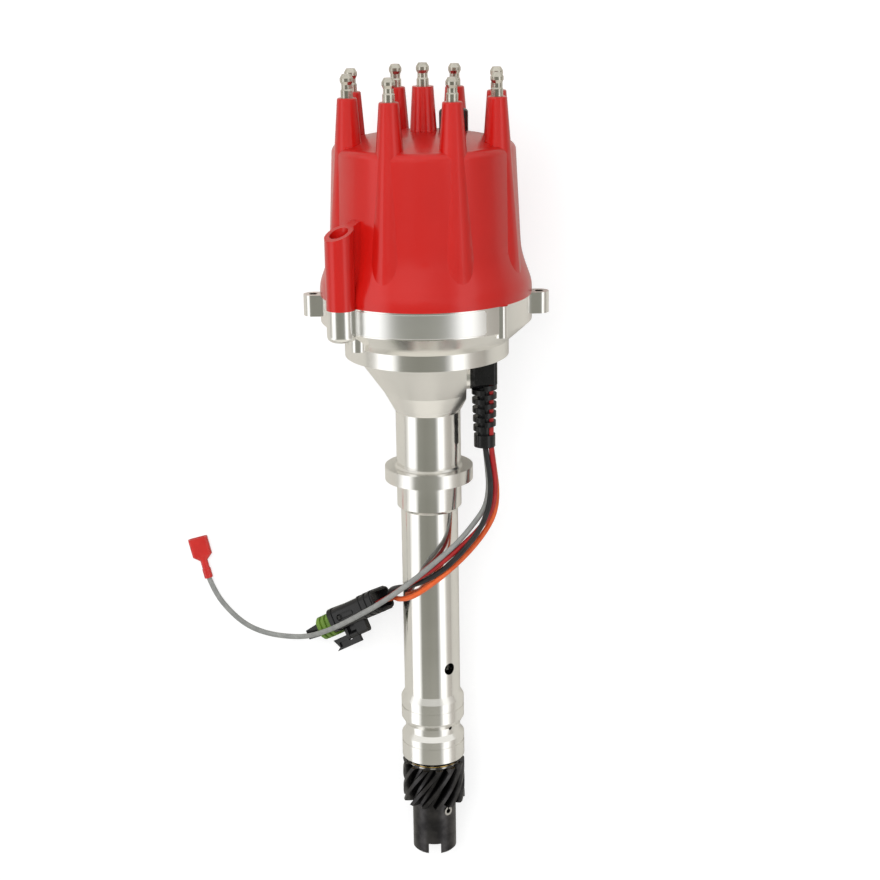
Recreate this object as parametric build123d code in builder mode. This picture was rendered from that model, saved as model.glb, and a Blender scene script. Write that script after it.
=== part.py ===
"""Ignition distributor, made of its separate pieces.

Frame, in millimetres: the distributor lies on a flat surface on its bowl's rim and its drive gear.
+Z is up from that surface, +X is to the side, and the cap points towards +Y. The origin is on the
shaft axis at the collar's seat, the face that rests on the engine block. Heights along the shaft
axis are counted from that seat, plus towards the cap. On planes across the axis, local x is
sideways, local y points down to the surface and local z runs along the axis towards the cap.
"""

import os
from math import atan2, cos, degrees, pi, radians, sin, sqrt, tan

from build123d import *

os.makedirs("parts", exist_ok=True)

# fits and clearances
running = 0.04      # radial play of a turning or sliding fit
free = 0.3          # gap between pieces that move past each other
wall = 3.0          # least wall of the cast and moulded shells

# engine block interface
bore_r = 16.15      # bore in the block: pilot and both lower bands
pilot_length = 13.6
collar_r = 22.0
collar_thick = 6.9
foot_ring_r = 17.0
foot_ring_thick = 0.9

# housing below the collar
tube_r = 14.3
tube_low = -114.4           # where the slim tube meets the upper band
band_top = -117.6
band_bottom = -128.7
neck_r = 14.1
neck_top = -132.2
neck_bottom = -135.8
low_band_top = -138.2
low_band_bottom = -150.5
housing_end = -152.6
groove_width = 1.1
groove_depth = 0.35
groove_heights = (-122.6, -142.2)
side_hole_r = 3.1
side_hole_height = -99.2
oil_hole_r = 1.0
oil_hole_height = -132.1
hole_azimuth = 39.0         # from straight up towards +X, for both holes and the roll pin

# housing above the collar
upper_tube_r = 16.1
cone_start = 35.3
cone_break_r = 21.6
cone_break = 45.4
cone_end_r = 35.0
step_height = 64.4          # under face of the lower ring
lower_ring_r = 40.2
lower_ring_top = 72.1
rim_r = 51.5
rim_low = 82.2
rim_top = 95.1
well_r = 34.5
well_floor = 68.5
ledge_height = 81.0         # step between the well and the wide bowl
bowl_r = 46.4
bore_clear_r = 9.5          # bore of the housing tube, which the lower bushing is pressed into

# lugs round the rim
ear_circle_r = 55.0
ear_r = 4.8
ear_hole_r = 2.1
ear_low = 84.2
ear_top = 94.6
lobe_circle_r = 56.0
lobe_r = 6.9
lobe_low = 79.8
under_lobe_r = 4.1
under_lobe_circle_r = 45.6
under_lobe_low = 73.4
pad_circle_r = 50.0
pad_r = 3.2
lobe_azimuth = 45.0
lobe_round = 0.42           # share of a lobe's radius that its lower edge is rounded by

# lead boss on the cone and the moulded strain relief
lead_height = 52.1
flat_face = 19.0            # distance of the milled flat beside the boss from the shaft axis
boss_r = 6.3
boss_face = 21.0            # distance of the boss face from the shaft axis
stem_r = 4.0
relief_axis = 28.0          # distance of the downward leg from the shaft axis
relief_block = 12.8
relief_block_low = 49.0
relief_corner = 2.2
relief_stem_past = 4.0      # stem past the outside of the upper tube
relief_top = 61.6
relief_r = 6.4              # reach of the first rib, which tapers to the end cap's radius
relief_end_r = 5.35
relief_core_r = 3.4
relief_low = 16.2
relief_cap = 6.2
relief_first_rib = 46.9
relief_pitch = 4.7
relief_rib_thick = 2.5
relief_ribs = 5

# shaft and its bearings
shaft_r = 6.235
shaft_low = -197.4
shaft_top = 99.5
spindle_r = 4.5
spindle_top = 112.6
bushing_length = 34.0
bearing_r = 12.5
bearing_thick = 7.0
bearing_inner_r = 8.2
bearing_outer_r = 10.6
ball_r = 1.9
ball_count = 8

# drive gear, thrust washers and roll pin
gear_teeth = 13
gear_tip_r = 16.1
gear_root_r = 12.2
gear_length = 21.5
helix_angle = 35.0
hub_r = 11.3
hub_length = 28.5
hub_chamfer = 1.0
tooth_root_share = 0.36     # half a tooth's width at its root, as a share of the pitch, and at its tip
tooth_tip_share = 0.15
tooth_bulge = 0.3           # how far a tooth's flanks curve, and how far its root is sunk into the body
washer_r = 13.4
washer_thick = 0.75
drive_slot_width = 6.4
drive_slot_depth = 6.0
pin_r = 2.38
pin_bore_r = 1.3
pin_slit = 0.8
pin_height = -180.3
pin_length = 23.4

# signal pickup in the well
reluctor_points = 8
reluctor_r = 14.0
reluctor_root_r = 11.0
reluctor_low = 75.8
reluctor_thick = 4.6
reluctor_hub_r = 9.0
reluctor_hub_low = 72.0
reluctor_point_width = 2.4
pickup_gap = 0.6
pickup_plate_r = 31.0
pickup_plate_bore_r = 13.2
pickup_plate_thick = 1.6
pickup_block_r = 25.0
pickup_block_angle = 64.0
pickup_screw_circle_r = 28.0
pickup_screw_play = 0.1
pickup_azimuth = 90.0
pole_depth = 3.4
pole_width = 6.0
pole_thick = 3.0
small_screw_r = 1.5
small_head_r = 2.8
small_head = 1.8
small_shank = 4.6
small_drive_r = 1.3         # corner radius of the hexagon socket
head_round = 0.3            # share of a screw head's height that its edge is rounded by
drive_share = 0.55          # share of a screw head's height that its socket takes

# ignition module on the ledge
module_inner_r = 30.0
module_outer_r = 45.6
module_angle = 104.0
module_azimuth = -90.0      # middle of the module, straight up
module_thick = 10.4
module_tab_angle = 150.0
module_tab_thick = 3.0
module_tab_width = 9.0
module_screw_circle_r = 40.4
module_edge = 0.8

# centrifugal advance
plate_r = 27.0
plate_thick = 2.0
weight_thick = 3.4
weight_gap = 0.4
weight_band_r = 18.6
weight_width = 9.6
weight_pin_r = 2.0
weight_pin_rise = 1.0       # pin above the weight that turns on it
weight_azimuth = 90.0       # pivot of the first weight, from +X
weight_arc = 70.0
sleeve_r = 7.2
cam_width = 13.0
cam_plate_low = 108.6
cam_plate_thick = 2.0
cam_plate_r = 24.0
spring_post_r = 1.3
spring_post_circle_r = 24.0
spring_post_azimuth = 110.0
cam_post_circle_r = 15.0
cam_post_azimuth = 165.0
spring_height = 105.4
spring_r = 1.9
spring_wire_r = 0.45
spring_coils = 7
spring_play = 0.25
crest_start = 0.3           # shares of a spring's pitch where the crest of each turn starts and ends
crest_end = 0.7
stop_circle_r = 11.4
stop_azimuth = 120.0
stop_pin_r = 1.2
stop_bushing_r = 2.1
advance_range = 11.0
clip_r = 6.8
clip_thick = 0.8
clip_groove_depth = 0.6

# rotor
rotor_r = 30.0
rotor_base_thick = 4.6
rotor_foot_r = 13.6
rotor_neck_r = 10.5
rotor_top = 146.0
rotor_recess_r = 8.0
rotor_recess_depth = 2.6
rotor_screw_circle_r = 19.0
rotor_arm_width = 8.0
rotor_arm_low_reach = 18.0  # reach of the arm at the disc
rotor_arm_reach = 27.9      # and under the blade
rotor_arm_square = 6.0      # depth of the arm's square end
rotor_screw_sink = 1.2
blade_width = 9.0
blade_thick = 1.5
blade_gap = 0.9             # spark gap between the blade and the cap's electrodes
contact_r = 4.2
contact_height = 1.8
contact_round = 0.6         # share of the contact's height that its edge is rounded by

# cap
cap_rim_top = 97.6
cap_waist_r = 46.0
cap_waist = 122.1
cap_shoulder_r = 44.0
cap_shoulder = 163.6
cap_crown_r = 40.0
cap_crown = 167.6
cap_top = 173.0
cap_roof = 158.0
cap_bore_r = 41.0
cap_lip_r = 46.2
cap_lip_bore_r = 42.6
cap_lip_depth = 2.6
cap_flare = ((49.7, 105.4), (47.7, 111.3))      # points of the flare between the rim and the waist
cap_roof_corner = 2.0
socket_rise = 1.0           # how far the sockets under the roof are sunk into it
tower_count = 8
tower_circle_r = 37.9
tower_turn = 21.0           # angle of the first tower from +X
tower_r = 4.65
tower_top = 190.2
tower_low = 99.4
tower_edge = 0.8
tower_taper = 0.078         # growth of the radius per millimetre downwards
centre_tower_r = 5.05
centre_tower_base_r = 6.4
centre_tower_top = 193.8
tunnel_top = 128.1
tunnel_web_top = 135.6
tunnel_bore_r = 4.5
tunnel_seat = 101.6
socket_r = 6.6
electrode_socket_wall = 1.0
electrode_socket_gap = 0.5  # between an electrode's socket and the cap's bore
socket_low = 150.6

# terminals in the cap
stud_r = 3.1
stud_ledge_r = 2.85
stud_ledge_end = 3.4        # heights above the tower's mouth: ledge, neck, head and tip
stud_neck_start = 4.1
stud_neck_end = 6.1
stud_head_start = 7.6
stud_head_end = 9.1
stud_length = 10.9
stud_neck_r = 2.4
stud_tip_r = 2.05
post_r = 2.4
electrode_r = 2.4
electrode_low = 141.0
terminal_shank = 8.0
brush_r = 2.9
brush_length = 12.0
spring_room = 8.6
coil_post = 2.0             # slim end of the centre terminal above the brush's pocket
brush_chamfer = 0.6
brush_spring_coils = 7
brush_spring_play = 0.4     # between the spring and the brush's bore
brush_spring_wire_r = 0.4
brush_spring_gap = 0.1      # at each end of the spring

# cap screws and the vent
cap_screw_r = 2.4
cap_screw_head_r = 4.2
cap_screw_head = 4.0
cap_screw_low = 84.5
cap_screw_drive_r = 2.1
vent_r = 7.0
vent_height = 10.5
vent_x = 14.5
vent_y = 9.0
vent_foot = 171.6
vent_stem_r = 3.6
vent_stem_length = 8.0
vent_fillet = 1.8

# the four insulated wires of the lead
wire_r = 1.35
wire_pitch = 3.0
bundle_x = 29.7             # middle of the four wires where they leave the strain relief
arc_share = 0.45            # part of the shorter run that a corner's arc takes up
wire_straight = 9.0         # last run of a wire, into its cavity

# corner points of the wires in the resting frame, from the strain relief to their far ends
black_points = [
    (29.8, 6.4, 3.6), (30.9, -3.6, 4.9), (29.7, -14.8, 7.0), (24.9, -25.7, 9.4), (15.8, -36.2, 12.5),
    (4.5, -46.7, 12.7), (-8.9, -53.1, 11.1), (-20.8, -56.8, -0.9),
]
red_points = [
    (32.3, 5.5, 2.2), (33.3, -5.2, 2.2), (31.5, -16.1, 3.4), (25.6, -24.9, 5.2), (17.4, -32.3, 8.1),
    (9.3, -38.4, 11.9), (1.0, -44.6, 13.0), (-7.8, -49.7, 12.7), (-16.7, -56.0, 9.9),
]
orange_points = [
    (32.6, 5.6, -1.1), (34.3, -8.7, -1.6), (32.6, -19.4, 0.6), (27.1, -28.4, 3.8), (18.9, -37.6, 6.8),
    (9.8, -45.3, 10.6), (0.6, -52.2, 12.1), (-9.4, -59.3, 9.8), (-16.5, -61.2, 5.4),
]
gray_points = [
    (29.3, 5.2, -0.6), (30.0, -5.4, -0.4), (28.3, -14.7, 2.0), (23.0, -21.8, 5.2), (14.4, -31.0, 10.5),
    (3.9, -39.4, 14.4), (-6.2, -47.3, 16.0), (-16.0, -55.2, 13.1), (-25.7, -62.9, 7.2), (-38.2, -71.5, -0.8),
    (-51.0, -80.3, -11.8), (-64.1, -87.8, -26.2), (-75.6, -90.2, -36.2), (-87.7, -88.7, -38.4),
    (-98.1, -84.0, -38.42), (-106.8, -75.9, -38.42), (-113.6, -66.4, -37.9),
]

# the three-way plug: its wire end, its axis toward the nose and its turn about that axis
plug_end = (-24.34, -65.27, -9.7)
plug_axis = (-0.763, -0.447, -0.467)
plug_roll = 15.0
cavity_pitch = 3.2
cavity_floor = 4.0
plug_back = 7.0             # plug body beside its cavities, away from the lock
plug_front = 4.5            # and on the lock's side
plug_half = 8.5
plug_length = 31.0
plug_corner = 2.6
plug_wall = 1.3
neck_width = 8.4
neck_height = 11.4
neck_end = 42.0
seal_start = 31.6
seal_end = 41.0
seal_width = 12.2
seal_height = 15.2
seal_groove = 1.1
seal_ribs = 3
seal_rib = 1.9
prong_tip = 52.0
prong_thick = 2.0
prong_root_width = 7.0
prong_tip_width = 5.0
prong_root_reach = 2.8
prong_tip_reach = 2.25
latch_width = 3.4           # slot in the plug's upper face, seen as a dark window
latch_rise = 1.2
latch_centre = 20.0
latch_length = 11.0

# flap that locks the plug's contacts, on a pin at the side of the plug
lock_x = 9.2
lock_pin_r = 0.9
lock_bore_r = 1.0
lock_knuckle_r = 1.8
lock_start = 22.0
lock_knuckle = 5.0
lock_gap = 0.3
lock_ear = 1.8
lock_block_start = 15.0
lock_thick = 1.6
lock_reach = 14.2
lock_tip = 39.0
lock_notch = 2.4
lock_window = (2.6, 5.4)
lock_window_z = 30.6

# push-on terminal at the end of the gray wire: insulating sleeve over a receptacle for a flat tab
sleeve_foot = (-116.7, -57.9, -37.5)
sleeve_way = (-0.242, 0.970, 0)
sleeve_length = 21.9
sleeve_width = 10.2
sleeve_thick = 4.6
sleeve_shell = 0.9
sleeve_shoulder = 9.4       # end of the neck, where the sleeve widens
sleeve_mouth = 12.2         # start of the full width
sleeve_corner = 1.6
sleeve_neck_r = 1.95
sleeve_barrel_r = 2.25
sleeve_barrel = 5.2
tab_width = 7.6
tab_thick = 2.2
tab_slot_width = 6.4
tab_slot = 0.85
tab_length = 8.0
tab_recess = 0.8
tab_flat = 0.15
tab_floor = 1.0

# the resting attitude follows from the two places that touch the surface
gear_top = housing_end - 2 * washer_thick - free
gear_low = gear_top - gear_length
hub_low = gear_top - gear_length - hub_length
tilt = degrees(atan2(rim_r - gear_tip_r, rim_low - gear_low))

shaft_plane = Plane(origin=(0, 0, 0), x_dir=(1, 0, 0), z_dir=(0, cos(radians(tilt)), sin(radians(tilt))))
section = Plane(origin=(0, 0, 0), x_dir=(1, 0, 0), z_dir=-shaft_plane.y_dir)
spin = Axis((0, 0, 0), shaft_plane.z_dir)


def across(height):
    """The plane across the shaft axis at a height from the collar's seat."""
    return shaft_plane.offset(height)


def radial(height, angle):
    """The plane whose normal leaves the axis at a height, turned from +X in the plane across it."""
    level = across(height)
    out = level.from_local_coords(Vector(cos(radians(angle)), sin(radians(angle)), 0))
    return Plane(origin=level.origin, x_dir=level.z_dir, z_dir=out - level.origin)


def outline(*points):
    """A closed profile of straight lines on the section plane, as (radius, height) pairs."""
    with BuildSketch(section) as profile:
        with BuildLine():
            Polyline(*points, close=True)
        make_face()
    return profile.sketch


def arc_band(middle_r, width, middle_angle, sweep_angle, plane):
    """A round-ended band that follows a circle about the axis."""
    with BuildSketch(plane) as band:
        with BuildLine() as path:
            CenterArc((0, 0), middle_r, middle_angle - sweep_angle / 2, sweep_angle)
        SlotArc(path.edge(), width)
    return band.sketch


# housing, turned from bar, with lugs milled round the rim
with BuildPart() as housing:
    with BuildSketch(across(lobe_low)):
        with PolarLocations(lobe_circle_r, 2, lobe_azimuth):
            Circle(lobe_r)
    extrude(amount=rim_top - lobe_low)
    fillet(housing.edges().group_by(spin)[0], lobe_r * lobe_round)
    with BuildSketch(across(under_lobe_low)):
        with PolarLocations(under_lobe_circle_r, 2, lobe_azimuth):
            Circle(under_lobe_r)
    extrude(amount=rim_low + wall - under_lobe_low)
    with BuildSketch(across(ear_low)):
        with PolarLocations(ear_circle_r, 2):
            Circle(ear_r)
            Rectangle(ear_circle_r - bowl_r - wall, 2 * ear_r, align=(Align.MAX, Align.CENTER))
    extrude(amount=ear_top - ear_low)
    with BuildSketch(across(lobe_low)):
        with PolarLocations(pad_circle_r, 2, -lobe_azimuth):
            Circle(pad_r)
    extrude(amount=rim_top - lobe_low)
    revolve(
        outline(
            (0, housing_end),
            (neck_r, housing_end),
            (bore_r, low_band_bottom),
            (bore_r, low_band_top),
            (neck_r, neck_bottom),
            (neck_r, neck_top),
            (bore_r, band_bottom),
            (bore_r, band_top),
            (tube_r, tube_low),
            (tube_r, -pilot_length - (bore_r - tube_r)),
            (bore_r, -pilot_length),
            (bore_r, 0),
            (collar_r, 0),
            (collar_r, collar_thick),
            (foot_ring_r, collar_thick),
            (upper_tube_r, collar_thick + foot_ring_thick),
            (upper_tube_r, cone_start),
            (cone_break_r, cone_break),
            (cone_end_r, step_height),
            (lower_ring_r, step_height),
            (lower_ring_r, lower_ring_top),
            (rim_r, rim_low),
            (rim_r, rim_top),
            (0, rim_top),
        ),
        axis=spin,
    )
    with BuildSketch(radial((cone_start + step_height) / 2, 0).offset(flat_face)):
        Rectangle(step_height - cone_start, 2 * cone_end_r)
    extrude(amount=cone_end_r, mode=Mode.SUBTRACT)
    with BuildSketch(radial(lead_height, 0)):
        Circle(boss_r)
    extrude(amount=boss_face)
    revolve(
        outline(
            (0, well_floor - bearing_thick),
            (bearing_r, well_floor - bearing_thick),
            (bearing_r, well_floor),
            (well_r, well_floor),
            (well_r, ledge_height),
            (bowl_r, ledge_height),
            (bowl_r, rim_top + 1),
            (0, rim_top + 1),
        ),
        axis=spin,
        mode=Mode.SUBTRACT,
    )
    with BuildSketch(across(housing_end)):
        Circle(bore_clear_r)
    extrude(amount=well_floor - housing_end, mode=Mode.SUBTRACT)
    for groove_height in groove_heights:
        with BuildSketch(across(groove_height)):
            Circle(bore_r + 1)
            Circle(bore_r - groove_depth, mode=Mode.SUBTRACT)
        extrude(amount=groove_width, mode=Mode.SUBTRACT)
    with BuildSketch(radial(side_hole_height, hole_azimuth - 90)):
        Circle(side_hole_r)
    extrude(amount=collar_r, mode=Mode.SUBTRACT)
    with BuildSketch(radial(oil_hole_height, hole_azimuth - 90)):
        Circle(oil_hole_r)
    extrude(amount=collar_r, mode=Mode.SUBTRACT)
    with BuildSketch(radial(lead_height, 0)):
        Circle(stem_r)
    extrude(amount=boss_face, mode=Mode.SUBTRACT)
    with BuildSketch(across(ear_low)):
        with PolarLocations(ear_circle_r, 2):
            Circle(ear_hole_r)
    extrude(amount=ear_top - ear_low, mode=Mode.SUBTRACT)
    with BuildSketch(across(cap_screw_low)):
        with PolarLocations(lobe_circle_r, 2, lobe_azimuth):
            Circle(cap_screw_r)
    extrude(amount=rim_top - cap_screw_low, mode=Mode.SUBTRACT)
    with BuildSketch(across(well_floor)):
        with PolarLocations(pickup_screw_circle_r, 2):
            Circle(small_screw_r)
    extrude(amount=-(small_shank - pickup_plate_thick), mode=Mode.SUBTRACT)
    with BuildSketch(across(ledge_height)):
        for side in (-1, 1):
            with PolarLocations(module_screw_circle_r, 1, module_azimuth + side * module_tab_angle / 2):
                Circle(small_screw_r)
    extrude(amount=-small_shank, mode=Mode.SUBTRACT)
housing.part.label = "housing"
export_step(housing.part, "parts/housing.step")


# shaft with the turned-down spindle that carries the advance
with BuildPart() as shaft:
    revolve(
        outline(
            (0, shaft_low),
            (shaft_r, shaft_low),
            (shaft_r, shaft_top),
            (spindle_r, shaft_top),
            (spindle_r, spindle_top),
            (0, spindle_top),
        ),
        axis=spin,
    )
    with BuildSketch(radial(pin_height, hole_azimuth - 90)):
        Circle(pin_r)
    extrude(amount=shaft_r * 2, both=True, mode=Mode.SUBTRACT)
    with BuildSketch(across(cam_plate_low + cam_plate_thick + free)):
        Circle(spindle_r + 1)
        Circle(spindle_r - clip_groove_depth, mode=Mode.SUBTRACT)
    extrude(amount=clip_thick, mode=Mode.SUBTRACT)
shaft.part.label = "shaft"
export_step(shaft.part, "parts/shaft.step")


# bronze bushing pressed into the lower end
with BuildPart() as lower_bushing:
    with BuildSketch(across(housing_end)):
        Circle(bore_clear_r)
        Circle(shaft_r + running, mode=Mode.SUBTRACT)
    extrude(amount=bushing_length)
    with BuildSketch(radial(oil_hole_height, hole_azimuth - 90)):
        Circle(oil_hole_r)
    extrude(amount=bore_clear_r, mode=Mode.SUBTRACT)
lower_bushing.part.label = "lower_bushing"
export_step(lower_bushing.part, "parts/lower_bushing.step")


# upper ball bearing: two races with rounded tracks and a ring of balls between them
bearing_middle = well_floor - bearing_thick / 2
ball_circle_r = (bearing_inner_r + bearing_outer_r) / 2
track_r = ball_r + free

with BuildPart() as bearing_outer_race:
    with BuildSketch(across(well_floor - bearing_thick)):
        Circle(bearing_r)
        Circle(bearing_outer_r, mode=Mode.SUBTRACT)
    extrude(amount=bearing_thick)
    with BuildSketch(section):
        with Locations((ball_circle_r, bearing_middle)):
            Circle(track_r)
    revolve(axis=spin, mode=Mode.SUBTRACT)
bearing_outer_race.part.label = "bearing_outer_race"
export_step(bearing_outer_race.part, "parts/bearing_outer_race.step")

with BuildPart() as bearing_inner_race:
    with BuildSketch(across(well_floor - bearing_thick)):
        Circle(bearing_inner_r)
        Circle(shaft_r, mode=Mode.SUBTRACT)
    extrude(amount=bearing_thick)
    with BuildSketch(section):
        with Locations((ball_circle_r, bearing_middle)):
            Circle(track_r)
    revolve(axis=spin, mode=Mode.SUBTRACT)
bearing_inner_race.part.label = "bearing_inner_race"
export_step(bearing_inner_race.part, "parts/bearing_inner_race.step")

with BuildPart(across(bearing_middle)) as bearing_balls:
    with PolarLocations(ball_circle_r, ball_count):
        Sphere(ball_r)
bearing_balls.part.label = "bearing_balls"
export_step(bearing_balls.part, "parts/bearing_balls.step")


# helical drive gear, cut on one piece with its hub, which is slotted for the oil pump's drive
gear_pitch_r = (gear_tip_r + gear_root_r) / 2
gear_twist = degrees(gear_length * tan(radians(helix_angle)) / gear_pitch_r)
tooth_root_angle = 360 / gear_teeth * tooth_root_share
tooth_tip_angle = 360 / gear_teeth * tooth_tip_share
tooth_base_r = gear_root_r - tooth_bulge


def on_circle(circle_r, angle):
    """A point of a sketch at a radius and an angle in degrees."""
    return circle_r * cos(radians(angle)), circle_r * sin(radians(angle))


root_start = on_circle(tooth_base_r, -tooth_root_angle)
root_end = on_circle(tooth_base_r, tooth_root_angle)
tip_start = on_circle(gear_tip_r, -tooth_tip_angle)
tip_end = on_circle(gear_tip_r, tooth_tip_angle)

with BuildSketch() as tooth:
    with BuildLine():
        SagittaArc(root_start, tip_start, -tooth_bulge)
        ThreePointArc(tip_start, (gear_tip_r, 0), tip_end)
        SagittaArc(tip_end, root_end, -tooth_bulge)
        Line(root_end, root_start)
    make_face()

with BuildSketch(across(gear_low)) as gear_section:
    Circle(gear_root_r)
    with PolarLocations(0, gear_teeth):
        add(tooth.sketch)

with BuildPart() as drive_gear:
    add(
        Solid.extrude_linear_with_rotation(
            gear_section.sketch.faces()[0],
            across(gear_low).origin,
            shaft_plane.z_dir * gear_length,
            gear_twist,
        )
    )
    with BuildSketch(across(hub_low)):
        Circle(hub_r)
    extrude(amount=hub_length)
    chamfer(drive_gear.edges().group_by(spin)[0], hub_chamfer)
    with BuildSketch(across(hub_low)):
        Circle(shaft_r)
    extrude(amount=hub_length + gear_length, mode=Mode.SUBTRACT)
    with BuildSketch(across(hub_low)):
        Rectangle(drive_slot_width, 2 * hub_r)
    extrude(amount=drive_slot_depth, mode=Mode.SUBTRACT)
    with BuildSketch(radial(pin_height, hole_azimuth - 90)):
        Circle(pin_r)
    extrude(amount=hub_r * 2, both=True, mode=Mode.SUBTRACT)
drive_gear.part.label = "drive_gear"
export_step(drive_gear.part, "parts/drive_gear.step")


# rolled spring pin through the hub and the shaft
with BuildPart() as roll_pin:
    with BuildSketch(radial(pin_height, hole_azimuth - 90).offset(-pin_length / 2)):
        Circle(pin_r)
        Circle(pin_bore_r, mode=Mode.SUBTRACT)
        Rectangle(pin_r, pin_slit, align=(Align.MIN, Align.CENTER), mode=Mode.SUBTRACT)
    extrude(amount=pin_length)
roll_pin.part.label = "roll_pin"
export_step(roll_pin.part, "parts/roll_pin.step")


# two thrust washers take the gear's end load, the lower one steel and the upper one bronze
with BuildPart() as steel_washer:
    with BuildSketch(across(gear_top)):
        Circle(washer_r)
        Circle(shaft_r + running, mode=Mode.SUBTRACT)
    extrude(amount=washer_thick)
steel_washer.part.label = "steel_washer"
export_step(steel_washer.part, "parts/steel_washer.step")

with BuildPart() as bronze_washer:
    with BuildSketch(across(housing_end - washer_thick)):
        Circle(washer_r)
        Circle(shaft_r + running, mode=Mode.SUBTRACT)
    extrude(amount=washer_thick)
bronze_washer.part.label = "bronze_washer"
export_step(bronze_washer.part, "parts/bronze_washer.step")


# eight-pointed reluctor, pressed on the shaft
with BuildPart() as reluctor:
    with BuildSketch(across(reluctor_low)):
        Circle(reluctor_root_r)
        with PolarLocations(reluctor_root_r, reluctor_points):
            Rectangle(2 * (reluctor_r - reluctor_root_r), reluctor_point_width)
        Circle(reluctor_r, mode=Mode.INTERSECT)
        Circle(shaft_r, mode=Mode.SUBTRACT)
    extrude(amount=reluctor_thick)
    with BuildSketch(across(reluctor_hub_low)):
        Circle(reluctor_hub_r)
        Circle(shaft_r, mode=Mode.SUBTRACT)
    extrude(amount=reluctor_low - reluctor_hub_low)
reluctor.part.label = "reluctor"
export_step(reluctor.part, "parts/reluctor.step")


# pickup: a plate on the well's floor, with the moulded coil standing on it and a steel pole inside
pickup_plate_top = well_floor + pickup_plate_thick
pole_r = reluctor_r + pickup_gap
pole_low = reluctor_low + (reluctor_thick - pole_thick) / 2

with BuildPart() as pickup_plate:
    with BuildSketch(across(well_floor)):
        Circle(pickup_plate_r)
        Circle(pickup_plate_bore_r, mode=Mode.SUBTRACT)
        with PolarLocations(pickup_screw_circle_r, 2):
            Circle(small_screw_r + pickup_screw_play, mode=Mode.SUBTRACT)
    extrude(amount=pickup_plate_thick)
pickup_plate.part.label = "pickup_plate"
export_step(pickup_plate.part, "parts/pickup_plate.step")

with BuildPart() as pickup_coil:
    add(
        extrude(
            arc_band(
                (pole_r + pickup_gap + pickup_block_r) / 2,
                pickup_block_r - pole_r - pickup_gap,
                pickup_azimuth,
                pickup_block_angle,
                across(pickup_plate_top),
            ),
            amount=ledge_height - pickup_plate_top - pickup_gap,
        )
    )
    with BuildSketch(radial(pole_low + pole_thick / 2, pickup_azimuth).offset(pole_r)):
        Rectangle(pole_thick, pole_width)
    extrude(amount=pole_depth, mode=Mode.SUBTRACT)
pickup_coil.part.label = "pickup_coil"
export_step(pickup_coil.part, "parts/pickup_coil.step")

with BuildPart() as pickup_pole:
    with BuildSketch(radial(pole_low + pole_thick / 2, pickup_azimuth).offset(pole_r)):
        Rectangle(pole_thick, pole_width)
    extrude(amount=pole_depth)
    with BuildSketch(across(pole_low)):
        Circle(pole_r)
    extrude(amount=pole_thick, mode=Mode.SUBTRACT)
pickup_pole.part.label = "pickup_pole"
export_step(pickup_pole.part, "parts/pickup_pole.step")


def cap_head_screw(plane, head_r, head_height, shank_r, shank_length, drive_r):
    """A round-headed screw with a hexagon socket, seated on a plane with its shank below it."""
    with BuildPart() as screw:
        with BuildSketch(plane):
            Circle(head_r)
        extrude(amount=head_height)
        fillet(screw.edges().sort_by(Axis(plane.origin, plane.z_dir))[-1], head_height * head_round)
        with BuildSketch(plane.offset(head_height)):
            RegularPolygon(drive_r, 6)
        extrude(amount=-head_height * drive_share, mode=Mode.SUBTRACT)
        with BuildSketch(plane):
            Circle(shank_r)
        extrude(amount=-shank_length)
    return screw.part


def at_polar(height, circle_r, angle):
    """The plane across the axis at a height, moved out to a circle at an angle from +X."""
    level = across(height)
    x, y = circle_r * cos(radians(angle)), circle_r * sin(radians(angle))
    return Plane(origin=level.from_local_coords((x, y, 0)), x_dir=level.x_dir, z_dir=level.z_dir)


with BuildPart() as pickup_screws:
    for angle in (0, 180):
        plane = at_polar(pickup_plate_top, pickup_screw_circle_r, angle)
        add(cap_head_screw(plane, small_head_r, small_head, small_screw_r, small_shank, small_drive_r))
pickup_screws.part.label = "pickup_screws"
export_step(pickup_screws.part, "parts/pickup_screws.step")


# ignition module: a potted crescent on the ledge, with a screw tab at each end
module_middle_r = (module_inner_r + module_outer_r) / 2
module_width = module_outer_r - module_inner_r

with BuildPart() as ignition_module:
    with BuildSketch(across(ledge_height)):
        with BuildLine() as module_path:
            CenterArc((0, 0), module_middle_r, module_azimuth - module_angle / 2, module_angle)
        SlotArc(module_path.edge(), module_width)
        Circle(module_inner_r, mode=Mode.SUBTRACT)
        Circle(module_outer_r, mode=Mode.INTERSECT)
    extrude(amount=module_thick)
    fillet(ignition_module.edges().group_by(spin)[-1], module_edge)
    with BuildSketch(across(ledge_height)):
        with BuildLine() as tab_path:
            CenterArc((0, 0), module_screw_circle_r, module_azimuth - module_tab_angle / 2, module_tab_angle)
        SlotArc(tab_path.edge(), module_tab_width)
        for side in (-1, 1):
            with PolarLocations(module_screw_circle_r, 1, module_azimuth + side * module_tab_angle / 2):
                Circle(small_screw_r + free, mode=Mode.SUBTRACT)
    extrude(amount=module_tab_thick)
ignition_module.part.label = "ignition_module"
export_step(ignition_module.part, "parts/ignition_module.step")

with BuildPart() as module_screws:
    for side in (-1, 1):
        angle = module_azimuth + side * module_tab_angle / 2
        plane = at_polar(ledge_height + module_tab_thick, module_screw_circle_r, angle)
        length = small_shank + module_tab_thick
        add(cap_head_screw(plane, small_head_r, small_head, small_screw_r, length, small_drive_r))
module_screws.part.label = "module_screws"
export_step(module_screws.part, "parts/module_screws.step")


# advance: the base plate on the shaft's shoulder, with weight pins, spring posts and the stop slot
plate_top = shaft_top + plate_thick
weight_low = plate_top + weight_gap
weight_top = weight_low + weight_thick
plate_pins_top = weight_top + weight_pin_rise
cam_plate_top = cam_plate_low + cam_plate_thick

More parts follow.
